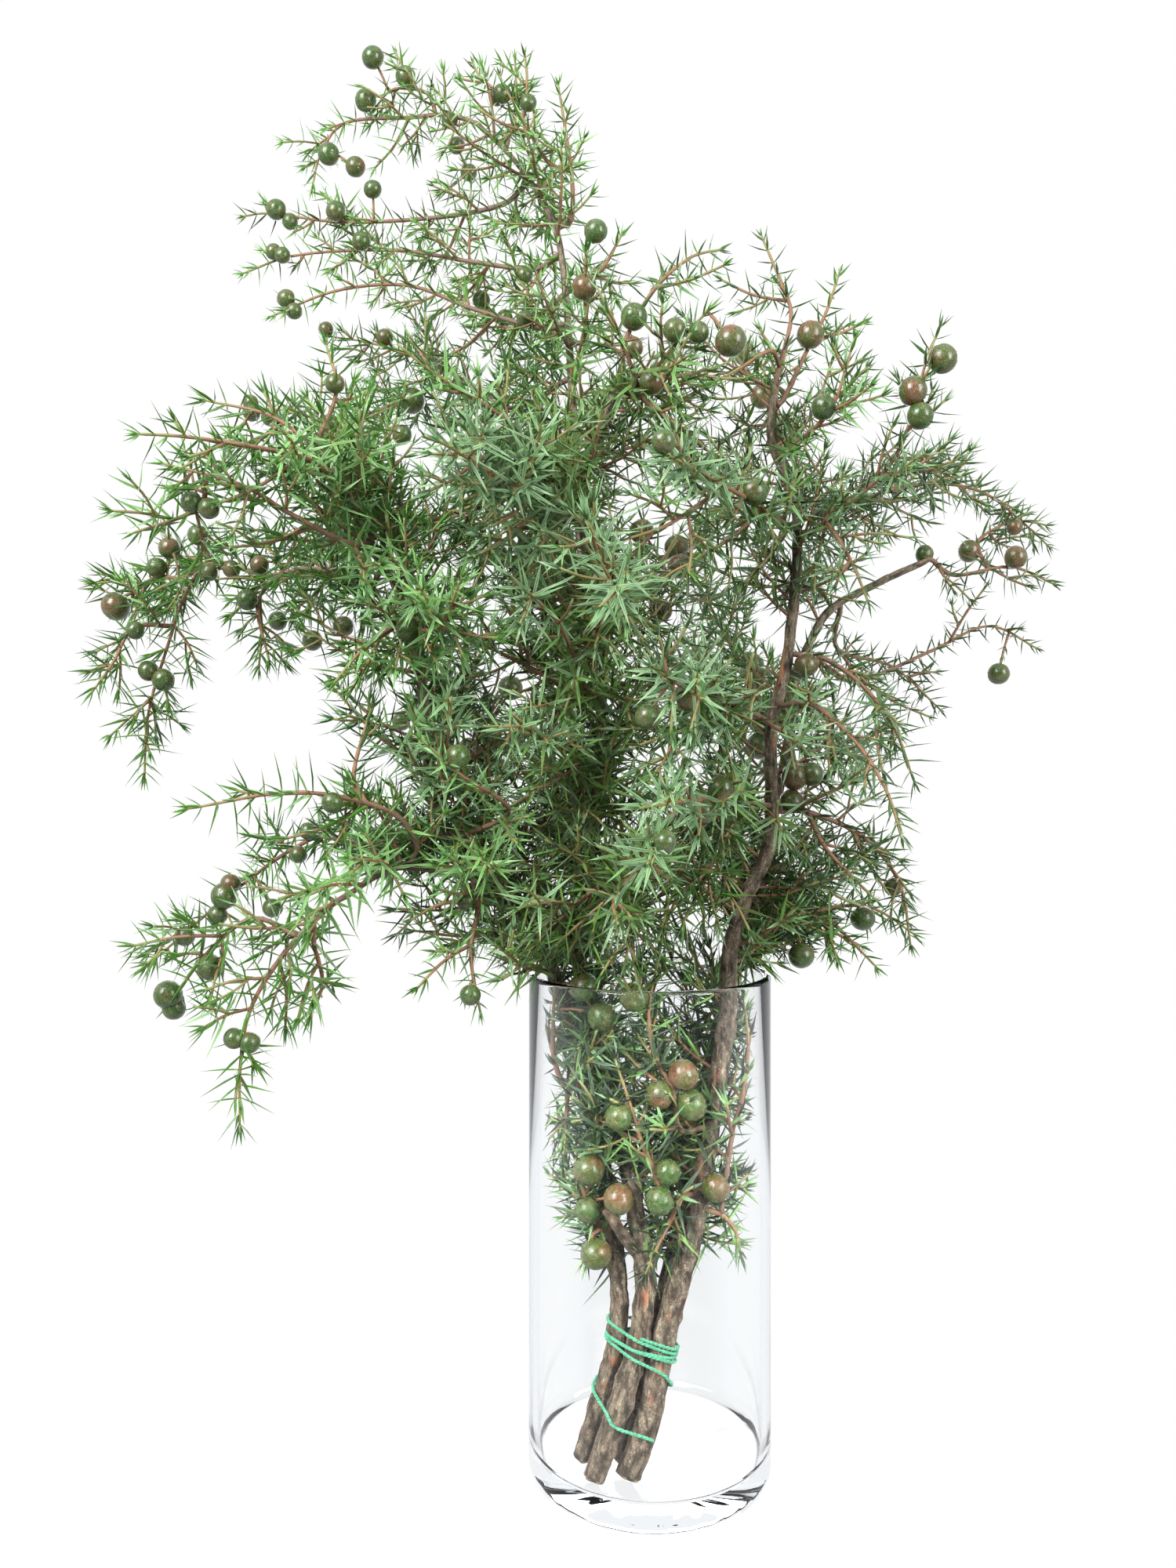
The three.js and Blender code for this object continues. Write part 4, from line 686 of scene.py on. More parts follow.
def needle_material():
    """Green rows, each with two pale bands along the upper face, a yellowish foot and a dry tip."""
    n = Nodes(bpy.data.materials.new("juniper_needle"))
    u, v = n.spot()
    rows = n.times(v, NEEDLE_ROWS)
    across = n.math("FRACT", rows)
    row = n.math("DIVIDE", n.math("FLOOR", rows), NEEDLE_ROWS)
    # Rows 12 to 15 and 20 to 22 are darker greens, painted shade for the plant's middle and for the vase;
    # rows 16 to 19 are paler greens, painted back light for the crown.
    greens = [
        (62, 92, 50), (72, 104, 56), (54, 86, 42), (80, 112, 62), (62, 100, 44), (62, 104, 40),
        (66, 122, 40), (82, 134, 46), (58, 108, 32), (76, 124, 38), (62, 104, 28), (92, 142, 54),
        (46, 66, 26), (56, 78, 32), (36, 54, 22), (70, 88, 36), (98, 150, 66), (112, 164, 80),
        (88, 140, 54), (120, 168, 88), (34, 54, 28), (42, 64, 34), (30, 46, 26),
    ]
    pales = [
        (0, (150, 184, 142)), (5, (142, 184, 128)), (11, (130, 176, 102)), (12, (98, 124, 60)),
        (15, (98, 124, 60)), (16, (168, 208, 146)), (19, (168, 208, 146)), (20, (84, 108, 82)),
    ]
    body = n.steps(row, *[(i / NEEDLE_ROWS, tone) for i, tone in enumerate(greens)])
    pale = n.tones(n.math("ADD", row, 0.001), *[(i / NEEDLE_ROWS, tone) for i, tone in pales])
    band = n.grey(across, (0.07, 0), (0.11, 1), (0.19, 1), (0.225, 0), (0.275, 0), (0.31, 1), (0.39, 1),
                  (0.43, 0))
    along = n.grey(u, (0.0, 0.3), (0.12, 1), (0.75, 1), (0.93, 0))
    under = n.grey(across, (0.5, 1), (0.56, 0.82), (0.75, 0.9), (0.94, 0.82), (0.99, 1))
    body = n.mix(1.0, body, under, "MULTIPLY")
    colour = n.coats(n.mix(n.times(n.times(band, along), 0.72), body, pale),
                     (u, (0.0, 0.75), (0.16, 0), (150, 158, 84)), (u, (0.84, 0), (0.97, 0.8), (168, 150, 92)))
    n.finish(colour, n.grey(band, (0.0, 0.36), (1.0, 0.55)))
    n.shader.inputs["Specular IOR Level"].default_value = 0.45
    return n.owner


def twig_material():
    """Green at the young end, red-brown further down and grey at the foot, with small flakes."""
    n = Nodes(bpy.data.materials.new("juniper_twig"))
    u, v = n.spot()
    where = n.round_about(u, v, 0.6, 26)
    blotch = n.noise(where, 2.2)
    age = n.math("ADD", v, n.times(n.math("SUBTRACT", blotch, 0.5), 0.22))
    colour = n.tones(age, (0.0, (112, 140, 74)), (0.12, (132, 122, 70)), (0.28, (136, 96, 68)),
                     (0.5, (120, 82, 62)), (0.75, (106, 84, 70)), (1.0, (102, 86, 72)))
    flake = n.noise(where, 9, 4)
    colour = n.coats(colour, (flake, (0.42, 0.0), (0.7, 0.5), (172, 146, 118)),
                     (flake, (0.28, 0.6), (0.42, 0.0), (78, 52, 40)))
    n.finish(colour, n.grey(flake, (0.3, 0.5), (0.7, 0.75)))
    n.bump(flake, 0.4, 0.0004)
    return n.owner


def berry_material():
    """Eight kinds from green to red-brown, with a blush, a bloom, dust, scurf and pale seams."""
    n = Nodes(bpy.data.materials.new("juniper_berry"))
    u, v = n.spot()
    columns = n.times(u, BERRY_ROWS)
    kind = n.math("DIVIDE", n.math("FLOOR", columns), BERRY_ROWS)
    angle = n.times(n.math("FRACT", columns), tau)
    dip = n.times(v, pi)
    level = n.math("SINE", dip)
    x = n.times(n.math("COSINE", angle), level)
    y = n.times(n.math("SINE", angle), level)
    where = n.vector(n.math("ADD", x, n.times(kind, 23.0)), y, n.math("COSINE", dip))
    greens = [(50, 78, 26), (60, 86, 34), (50, 78, 20), (56, 82, 30), (64, 76, 27), (74, 78, 33),
              (66, 76, 30), (80, 74, 34)]
    green = n.steps(kind, *[(i / BERRY_ROWS, tone) for i, tone in enumerate(greens)])
    ripe = n.grey(n.math("ADD", kind, 0.001), (0.0, 0.2), (0.40, 0.35), (0.52, 0.65), (0.9, 0.9))
    broad = n.noise(where, 0.8, 3, 0.6)
    bloom = n.noise(where, 1.9, 5, 0.66)
    dust = n.noise(where, 15, 4, 0.6)
    scurf = n.noise(where, 3.4, 6, 0.75)
    third = n.math("COSINE", n.times(angle, 3.0))
    blush = n.times(n.grey(broad, (0.47, 0), (0.56, 1)), ripe)
    seam = n.times(n.grey(third, (0.93, 0), (1.0, 1)), n.grey(v, (0.0, 1), (0.12, 0.6), (0.2, 0)))
    colour = n.coats(n.mix(blush, green, shade(106, 64, 42)),
                     (bloom, (0.46, 0.0), (0.70, 0.24), (124, 146, 112)),
                     (dust, (0.58, 0.0), (0.66, 0.55), (188, 186, 158)),
                     (dust, (0.32, 0.55), (0.40, 0.0), (46, 62, 26)),
                     (scurf, (0.63, 0.0), (0.69, 0.8), (196, 178, 150)))
    n.finish(n.mix(seam, colour, shade(120, 112, 84)), n.grey(bloom, (0.35, 0.18), (0.7, 0.42)))
    n.shader.inputs["Specular IOR Level"].default_value = 0.6
    n.bump(dust, 0.12, 0.0003)
    return n.owner


def bark_material():
    """Grey-brown strips with dark and pale flakes and specks, rusty patches and a little moss, with painted
    shade in the relief's hollows, painted light on its ridges, and painted light that makes the bark paler
    above a height.
    """
    n = Nodes(bpy.data.materials.new("juniper_bark"))
    u, v = n.spot()
    relief = n.new("ShaderNodeAttribute", attribute_name="relief").outputs["Fac"]
    strips = n.noise(n.round_about(u, v, 1.8, 70), 1.0, 5)
    flake = n.noise(n.round_about(u, v, 2.2, 170), 1.5, 5, 0.7)
    speck = n.noise(n.round_about(u, v, 5.0, 420), 1.6, 3, 0.6)
    patch = n.noise(n.round_about(u, v, 0.7, 22), 1.0, 3)
    moss = n.noise(n.round_about(u, v, 1.1, 34), 1.0, 4)
    colour = n.tones(strips, (0.25, (70, 60, 50)), (0.42, (93, 83, 69)), (0.56, (109, 99, 83)),
                     (0.78, (132, 122, 103)))
    colour = n.coats(colour,
                     (flake, (0.34, 0.8), (0.47, 0.0), (78, 56, 42)),
                     (flake, (0.56, 0.0), (0.68, 0.75), (182, 166, 142)),
                     (speck, (0.36, 0.55), (0.46, 0.0), (60, 46, 36)),
                     (speck, (0.58, 0.0), (0.68, 0.5), (196, 180, 156)),
                     (patch, (0.60, 0.0), (0.67, 0.65), (158, 92, 54)),
                     (moss, (0.58, 0.0), (0.70, 0.45), (112, 118, 88)))
    # Painted shade and light: the colour is darkened where the relief is low, in the hollows and cracks, and
    # lightened where it is high, on the ridges.
    relief_shade = n.ramp(relief, [(0.12, (0.30, 0.26, 0.23)), (0.42, (0.82, 0.80, 0.78)),
                             (0.75, (1.12, 1.1, 1.08)), (1.0, (1.5, 1.47, 1.44))])
    colour = n.mix(1.0, colour, relief_shade, "MULTIPLY")
    n.finish(colour, n.grey(flake, (0.3, 0.92), (0.7, 0.75)))
    n.bump(n.mix(0.5, flake, speck), 0.8, 0.0008)
    return n.owner


def wood_material():
    n = Nodes(bpy.data.materials.new("cut_wood"))
    u, v = n.spot()
    rings = n.math("SINE", n.times(v, 90.0))
    grain = n.noise(n.round_about(u, v, 2.0, 6), 2.0, 4)
    colour = n.tones(grain, (0.3, (120, 96, 72)), (0.55, (168, 142, 108)), (0.8, (196, 172, 136)))
    n.finish(n.coats(colour, (rings, (0.4, 0.0), (1.0, 0.35), (122, 92, 62))), 0.8)
    n.bump(grain, 0.5, 0.0004)
    return n.owner


def string_material():
    n = Nodes(bpy.data.materials.new("green_string"))
    u, v = n.spot()
    fibre = n.noise(n.round_about(u, v, 0.5, 900), 1.2, 4)
    n.finish(n.tones(fibre, (0.25, (26, 100, 72)), (0.5, (52, 144, 104)), (0.8, (104, 186, 146))), 0.55)
    n.shader.inputs["Sheen Weight"].default_value = 0.3
    n.bump(fibre, 0.4, 0.0002)
    return n.owner


def glass_material():
    """Clear glass that bends light a little less than real glass, so that the stems show plainly."""
    n = Nodes(bpy.data.materials.new("clear_glass"))
    n.shader.inputs["Base Color"].default_value = (0.975, 0.985, 0.99, 1)
    n.shader.inputs["Transmission Weight"].default_value = 1.0
    n.shader.inputs["IOR"].default_value = 1.36
    n.shader.inputs["Roughness"].default_value = 0.0
    return n.owner


# Wood

def stand_on_floor(points, radius):
    """Moves a cut end along its stem until it stands just above the vase's floor."""
    heading = (points[1] - points[0]).normalized()
    drop = radius * sqrt(1 - heading.z ** 2)
    lower = (points[0].z - drop - VASE["floor"] - GAP) / heading.z
    points[0] = points[0] - heading * lower


def wood_of(name):
    parts = []
    for order, (start, end, points) in enumerate(BRANCHES[name]):
        points = [Vector(p) for p in points]
        if order == 0:
            stand_on_floor(points, start)
        parts.append({"route": Route(points), "from": start, "to": end, "led_on": False})
    return parts


def radius_of(part, s):
    return part["from"] + (part["to"] - part["from"]) * s / part["route"].length


def bark_at(base, rough, turn, s, seed):
    """How far a corner of the bark is from the stem's axis, and how high it stands in the relief."""
    spin = turn + BARK["spiral"] * s
    where = level_way(spin)

    def grain(scale, stretch, at=seed):
        return noise.noise(where * scale + at + UP * (s / stretch))
    ridge = grain(1.3, 24)
    strip = grain(0.45 * base, 6)
    crack = max(0.0, 1 - abs(grain(0.6 * base, 6, seed * 2)) / 0.1)
    chip = grain(0.9 * base, 2.6)
    knot = max(0.0, grain(0.8, 9) - 0.2)
    radius = base * (1 + 0.11 * ridge + 0.6 * knot * rough)
    radius += rough * (0.5 * strip - 0.3 * crack + 0.4 * chip)
    return radius, 0.5 + 0.7 * strip - 0.42 * crack + 0.7 * chip


def make_limb(mesh, relief, part, seed, before, total):
    """A gnarled limb: ridges, flakes and knots stand off a tapering tube."""
    rings, marks = [], []
    sides = BARK["sides"]
    route = part["route"]
    for s, at, _, across, upward in route.stations(int(route.length / BARK["step"])):
        base = radius_of(part, s)
        rough = min(1.0, base / BARK["full"])
        # Painted light and shade by height: the relief value, and with it the bark's colour, is raised above
        # a height and lowered a little below it.
        height_light = 0.22 * min(1.0, max(0.0, (at.z - BARK["painted_light_from"]) / BARK["painted_light_over"])) - 0.07
        points = []
        for i in range(sides):
            turn = tau * i / sides
            radius, level = bark_at(base, rough, turn, s, seed)
            relief.append(min(1.0, max(0.0, level + height_light)))
            points.append(at + across * (radius * cos(turn)) + upward * (radius * sin(turn)))
        rings.append(points)
        marks.append((before + s) / total)
    mesh.tube(rings, marks)
    return rings[0]


def make_cut_end(name, rim, out, material):
    """The cut face at a stem's foot: a thin disc on the first ring, a little rough."""
    middle = sum(rim, Vector()) / len(rim)
    mesh = Mesh()
    loops = []
    for share in (1.0, 0.98, 0.7, 0.4, 0.15):
        lift = 0.12 if share < 1 else -0.5
        loops.append(mesh.ring([
            middle + (p - middle) * share + out * (lift + 0.25 * noise.noise(p * 0.9 * share)) for p in rim
        ]))
    mesh.net(loops, lambda i, j: (i / len(rim), 1 - j / len(loops)))
    mesh.cap(loops[-1][::-1], (0.5, 0.0))
    mesh.cap(loops[0], (0.5, 1.0))
    make_piece("cut_" + name, mesh, material, ["branch_" + name])


def make_stem(name, parts, order, bark, wood):
    mesh = Mesh()
    relief, rims = [], []
    total = sum(part["route"].length for part in parts)
    before = 0.0
    for limb, part in enumerate(parts):
        seed = Vector((17.3 * order + 5.1 * limb, 0, 0))
        rims.append(make_limb(mesh, relief, part, seed, before, total))
        before += part["route"].length
    piece = make_piece("stem_" + name, mesh, bark, ["branch_" + name])
    # The relief attribute carries the bark's painted shade and light.
    piece.data.attributes.new("relief", "FLOAT", "POINT").data.foreach_set("value", relief)
    make_cut_end(name, rims[0], -parts[0]["route"].heading(0), wood)


# The string: two plies twisted round the line that the solid follows.

def string_line(stems):
    """Turns that lie on the outermost stem at each angle, and a loose end that winds down."""
    middle = sum((p["route"].at(p["route"].at_height(STRING["top"])) for p in stems), Vector()) / len(stems)
    centres = []
    first, angle = -90, -90
    while angle <= 360 * (STRING["turns"] + STRING["loose"]) + first:
        turns = (angle - first) / 360
        out = level_way(radians(angle))
        wound = min(turns, STRING["turns"])
        slack = max(0, turns - STRING["turns"]) / STRING["loose"]
        level = STRING["top"] - wound * STRING["pitch"] + 0.9 * sin(2.6 * turns)
        centre = level + (STRING["bottom"] - level) * slack
        slope = STRING["slope"] - 0.09 * sin(1.9 * turns + 0.6)
        reach = []
        for part in stems:
            route = part["route"]
            place = route.at(route.at_height(centre))
            s = route.at_height(centre + slope * (place.x - middle.x))
            clear = 1.07 * radius_of(part, s) + STRING["radius"] + GAP
            reach.append(route.at(s) + out * clear)
        best = max(reach, key=lambda p: p.dot(out)).copy()
        best.z = centre + slope * (best.x - middle.x)
        centres.append(best)
        angle += STRING["degrees"]
    for _ in range(5):
        inner = [(a + b * 2 + c) / 4 for a, b, c in zip(centres, centres[1:], centres[2:])]
        centres = [centres[0], *inner, centres[-1]]
    last = [centres[-1]] if (len(centres) - 1) % 2 else []
    return Route(centres[::2] + last)


def make_string(branches, material):
    route = string_line([parts[0] for parts in branches.values()])
    mesh = Mesh()
    count = int(route.length / PLY["step"])
    marks = [k / count for k in range(count + 1)]
    for strand in (0, 1):
        rings = []
        for s, at, heading, across, upward in route.stations(count):
            turn = tau * s / PLY["twist"] + pi * strand
            off = across * cos(turn) + upward * sin(turn)
            slant = heading + (upward * cos(turn) - across * sin(turn)) * 0.4
            a, b = carried(off, slant.normalized())
            rings.append(circle(at + off * (0.36 * PLY["size"]), a, -b, 0.55 * PLY["size"], PLY["sides"]))
        mesh.tube(rings, marks, 0.5 * strand, (0.5 * strand, 0.5 * strand + 0.5))
    make_piece("string", mesh, material, ["string_tie"])


# The vase: a turned form with a thick floor, rounded foot and fire-rounded lip.

def vase_profile():
    """From the middle of the foot up the outside, over the lip and down inside to the floor."""
    radius, height, wall, floor = (VASE[k] for k in ("radius", "height", "wall", "floor"))
    foot, inner, lip = VASE["foot_round"], VASE["inner_round"], VASE["wall"] / 2

    def arc(r, z, size, start, end, count):
        turns = [radians(start + (end - start) * i / count) for i in range(count + 1)]
        return [(r + size * cos(a), z + size * sin(a)) for a in turns]
    return [
        (0, 1.3), (8, 1.3), (16, 1.2), (24, 1.0), (31, 0.7), (37, 0.4), (40, 0.2),
        *arc(radius - foot, foot, foot, -90, 0, 9),
        *[(radius, z) for z in (16, 26, 38, 52, 70, 95, 130)],
        *arc(radius - lip, height - lip, lip, 0, 180, 10),
        *[(radius - wall, z) for z in (110, 75, 52, 36, 24)],
        *arc(radius - wall - inner, floor + inner, inner, 0, -90, 6),
        (24, floor - 0.2), (0, floor - 0.3),
    ]


def rippled(r, z, way):
    """A point of the glass, a little uneven, most of all at the foot."""
    ripple = noise.noise(way * 3.1 + UP * (z / 31))
    ripple += 0.5 * noise.noise(way * 9 + UP * (z / 23))
    low = exp(-z / 45) if r > 44 else 0.35
    sag = 0.22 * ripple if r < 44 and z < 2 else 0
    return way * (r + 0.16 * low * ripple) + UP * (z + sag)


def make_vase(material):
    sides = 128
    ways = [level_way(tau * i / sides) for i in range(sides)]
    mesh = Mesh()
    loops = []
    for r, z in vase_profile():
        loops.append(mesh.ring([rippled(r, z, way) for way in ways] if r else [UP * z]))
    foot, *rings, floor = loops

    def spot(i, j):
        return i / sides, j / len(loops)
    mesh.fan(foot[0], rings[0], spot, 0, 1, reverse=True)
    for j, (low, high) in enumerate(zip(rings, rings[1:]), start=1):
        mesh.walls(low, high, j / len(loops), (j + 1) / len(loops))
    mesh.fan(floor[0], rings[-1], spot, len(rings) + 1, len(rings))
    piece = make_piece("vase_glass", mesh, material, ["vase"])
    piece.visible_shadow = False


# Twigs, needles and berries

def clear_of_vase(point, radius):
    """How far a point is from the glass: negative inside it or under the vase's floor."""
    reach = hypot(point.x, point.y)
    if point.z > VASE["height"] + radius + GAP:
        return 1.0
    inside = VASE["radius"] - VASE["wall"] - GAP - radius - reach
    outside = reach - VASE["radius"] - GAP - radius
    if outside > 0:
        return outside
    return min(inside, point.z - VASE["floor"] - GAP - radius)


def move_clear(point, radius, woods):
    """A point moved out of the glass and off the stems."""
    point = point.copy()
    for _ in range(6):
        for part in woods:
            distance, s = part["route"].nearest(point)
            need = radius_of(part, s) + radius + 2 * GAP - distance
            if need > 0 and distance > 0:
                point += (point - part["route"].at(s)) * (need / distance)
        reach = hypot(point.x, point.y)
        if clear_of_vase(point, radius) >= 0 or point.z <= VASE["floor"] + 4:
            break
        inner = VASE["radius"] - VASE["wall"] - 2 * GAP - radius
        outer = VASE["radius"] + 2 * GAP + radius
        goal = inner if reach < VASE["radius"] - VASE["wall"] / 2 else outer
        point.x *= goal / reach
        point.y *= goal / reach
    return point


def rooted_on(parts, point):
    """The first two points of a spray's main twig: out of the wood, or on from the wood's own end."""
    _, s, limb = min((*part["route"].nearest(point), i) for i, part in enumerate(parts))
    part = parts[limb]
    route = part["route"]
    if s > route.length - 1.3 and not part["led_on"]:
        part["led_on"] = True
        out = route.heading(route.length)
        return [route.at(route.length) + out * ahead for ahead in (-1.0, 3)]
    s = min(s, route.length - 8)
    heading = route.heading(s)
    foot = route.at(s)
    out = point - foot
    out = (out - heading * out.dot(heading)).normalized()
    return [foot + out * (radius_of(part, s) + away) for away in (-1.0, 3)]


class Twig:
    """A route with its radii, its bare foot, the angle of its first whorl and its age at the foot."""

    def __init__(self, route, start, end, bare, turn, age):
        self.route, self.start, self.end, self.bare, self.turn = route, start, end, bare, turn
        self.age = age  # 0 is this year's green shoot, and 1 is grey bark

    def radius(self, s):
        return self.start + (self.end - self.start) * s / self.route.length


def clear_length(route, radius=0.8):
    """How much of a route is clear of the glass."""
    s = 3.0
    while s <= route.length:
        if clear_of_vase(route.at(s), radius) < 0:
            return s - 4
        s += 1.5
    return route.length


def side_shoot(parent, s, angle, length, lean, kind):
    """A shoot that leaves its parent at an angle and bends a little to the parent's way."""
    heading = parent.route.heading(s)
    _, way, _ = leaning(*sideways(heading), heading, angle, lean)
    centre = parent.route.at(s)
    bend = centre + way * (length * 0.5)
    end = bend + way * (length * 0.4) + heading * (length * 0.15)
    route = Route([centre, bend, end])
    clear = clear_length(route)
    if clear < 5:
        return None
    if clear < route.length:
        route = Route([centre, route.at(clear / 2), route.at(clear)])
    radius, age = SHOOTS[kind]
    return Twig(route, radius, SHOOT_TIP, 1.5, angle, age)


def shoots_along(parent, kind, first, last, size, step, fine):
    """Small shoots from one place on a twig to another, each further round it than the one before."""
    found = []
    s = first
    angle = tau * fine()
    while s < last:
        found.append(side_shoot(parent, s, angle, *size(s), kind))
        angle += SHOOT_TURN + 0.5 * fine()
        s += step()
    return [shoot for shoot in found if shoot]


class Region:
    """The pieces of one part of the plant while they grow."""

    def __init__(self, name, palette, leafy, longest, draw):
        self.name, self.rows, self.leafy, self.longest, self.draw = name, ROWS[palette], leafy, longest, draw
        self.nodes, self.needles = [], []
        self.twigs, self.berries = Mesh(), Mesh()

    def grow(self, twig):
        """The twig's own tube, knotted where its whorls stand."""
        length = twig.route.length
        sides = 6 if twig.start > 0.9 else 5
        rings, ages = [], []
        for s, at, _, across, upward in twig.route.stations(max(2, int(length / RING_STEP))):
            knot = 1.1 if len(rings) % 2 else 0.93
            rings.append(circle(at, across, upward, twig.radius(s) * knot, sides))
            ages.append(twig.age * max(0.0, 1 - s / length) ** 0.8)
        self.twigs.tube(rings, ages)

    def leaf(self, foot, way, face, length, width, row):
        """A needle, cut short where it would meet the glass, or none where it would be a stub."""
        if foot.z < VASE["height"] + length:
            clear = 0
            while clear < 6 and clear_of_vase(foot + way * (length * (clear + 1) / 6), 0.4) > 0:
                clear += 1
            if clear < 3:
                return
            length *= clear / 6
        self.needles.append((*foot, *way, *face, length, width, row))

    def row_of(self, foot, own, usual, fixed):
        """The needle's row of the colour map: the twig's usual one, another, or a darker green row as painted
        shade in the plant's middle and low down.
        """
        # Painted shade: darker rows in the plant's middle and low down, where shade falls.
        core = low = 0
        if foot.z < PAINTED_SHADE["below"]:
            core = (PAINTED_SHADE["reach"] - hypot(foot.x + 10, foot.y)) / PAINTED_SHADE["reach_fade"]
        if core > -0.2:
            low = (PAINTED_SHADE["low"] - foot.z) / PAINTED_SHADE["low_fade"]
        in_shade = self.draw() < min(PAINTED_SHADE["most"], max(low, core)) and not fixed and self.name != "vase"
        if not in_shade and self.draw() < NEEDLE["usual"]:
            return usual
        rows = ROWS["in_shade"] if in_shade else own
        return rows[int(self.draw() * len(rows))]

    def clothe(self, twig, longest, palette=None):
        """Whorls of three needles, each turned a sixth of a circle from the last, to a tuft at the tip."""
        draw, route = self.draw, twig.route
        across, upward = sideways(route.heading(0))
        own = ROWS[palette] if palette else self.rows
        usual = own[int(draw() * len(own))]
        s, whorl = twig.bare, 0
        while s < route.length + 0.5:
            left = route.length - s
            heading = route.heading(min(s, route.length - 0.2))
            across, upward = carried(across, heading)
            young = max(0.0, 1 - left / NEEDLE["young"])
            for side in range(3):
                if draw() < NEEDLE["missing"]:
                    continue
                angle = twig.turn + pi / 3 * whorl + tau * side / 3 + 0.5 * (draw() - 0.5)
                opened = radians(NEEDLE["open"] - NEEDLE["fold"] * young + NEEDLE["spread"] * (draw() - 0.5))
                out, way, face = leaning(across, upward, heading, angle, opened)
                length = longest * (1 - 0.42 * young) * (0.72 + 0.42 * draw())
                foot = route.at(s) + out * (twig.radius(min(s, route.length)) * 0.75)
                row = self.row_of(foot, own, usual, palette)
                self.leaf(foot, way, face, length, 0.62 + 0.045 * length + 0.25 * draw(), row)
            whorl += 1
            s += NEEDLE_STEP * (1 - 0.3 * young) * (0.85 + 0.3 * draw())
        heading = route.heading(route.length)
        foot = route.at(route.length) - heading * 0.6
        for side in range(3):
            opened = radians(NEEDLE["tuft"] + 12 * draw())
            _, way, face = leaning(across, upward, heading, 1.7 + tau * side / 3, opened)
            self.leaf(foot, way, face, longest * (0.32 + 0.2 * draw()), 1.1, usual)

    def berry(self, centre, size, foot):
        """A berry that points away from its foot, with the three-rayed seam of its scales at the tip."""
        draw, mesh = self.draw, self.berries
        tilt = Vector((draw() - 0.5, draw() - 0.5, draw() - 0.5)) * 0.9
        axis = ((centre - foot).normalized() + tilt).normalized()
        across, upward = sideways(axis)
        around, down = BERRY_SIDES, BERRY_RINGS
        kinds = range(BERRY_ROWS) if self.name in RIPE_REGIONS else (0, 1, 2, 3, 3, 4)
        kind = kinds[int(draw() * len(kinds))]
        flat = 0.94 + 0.08 * draw()
        loops = []
        for j in range(1, down):
            dip = pi * j / down
            points = []
            for i in range(around):
                turn = tau * i / around
                ray = max(0.0, cos(3 * turn)) ** 6
                sunk = 0.055 * ray * exp(-((dip - 0.25) / 0.22) ** 2) + 0.05 * exp(-(dip / 0.16) ** 2)
                lump = 0.015 * noise.noise(Vector((cos(turn), sin(turn), dip)) * 2 + centre * 0.1)
                radius = size / 2 * (1 - sunk + lump)
                points.append(centre + axis * (radius * flat * cos(dip))
                              + (across * cos(turn) + upward * sin(turn)) * (radius * sin(dip)))
            loops.append(mesh.ring(points))
        top = mesh.ring([centre + axis * (size / 2 * flat * 0.95)])[0]
        bottom = mesh.ring([centre - axis * (size / 2 * flat)])[0]

        def spot(i, j):
            return (kind + 0.02 + 0.96 * i / around) / BERRY_ROWS, j / down
        mesh.fan(top, loops[0], spot, 0, 1)
        mesh.fan(bottom, loops[-1], spot, down, down - 1, reverse=True)
        mesh.net(loops, lambda i, j: spot(i, j + 1))

    def finish(self, looks, shown):
        needles = uncover(np.array(self.needles), shown)
        make_needles("needles_" + self.name, needles, looks["needle"], self.nodes)
        make_piece("twigs_" + self.name, self.twigs, looks["twig"], self.nodes)
        make_piece("berries_" + self.name, self.berries, looks["berry"], self.nodes)


def uncover(rows, shown):
    """Most needles that hide a berry or the front of the right stem are left out."""
    eye = np.array(EYE)
    draw = np.random.RandomState(len(rows))
    middle = rows[:, 0:3] + rows[:, 3:6] * rows[:, 9:10] * 0.5
    keep = np.ones(len(rows), dtype=bool)
    for x, y, z, size in shown:
        sight = np.array((x, y, z)) - eye
        far = np.linalg.norm(sight)
        sight /= far
        ahead = (middle - eye) @ sight
        aside = np.linalg.norm(middle - eye - ahead[:, None] * sight, axis=1)
        hiding = (ahead < far) & (aside < size / 2 + UNCOVERED["margin"])
        keep &= ~(hiding & (draw.rand(len(rows)) < UNCOVERED["share"]))
    return rows[keep]


def needle_form():
    """One needle's faces: four strips along it, four triangles to its tip and the foot."""
    form = Mesh()
    strips = ((0, 0.06, 0.25), (1, 0.25, 0.44), (2, 0.56, 0.75), (3, 0.75, 0.94))
    start, bend = NEEDLE_RINGS[0][0], NEEDLE_RINGS[1][0]
    for i, low, high in strips:
        form.add((i, (i + 1) % 4, 4 + (i + 1) % 4, 4 + i),
                 (start, low), (start, high), (bend, high), (bend, low))
    for i, low, high in strips:
        form.add((4 + i, 4 + (i + 1) % 4, 8), (bend, low), (bend, high), (1.0, (low + high) / 2))
    form.cap((3, 2, 1, 0), (0.0, 0.75))
    return form


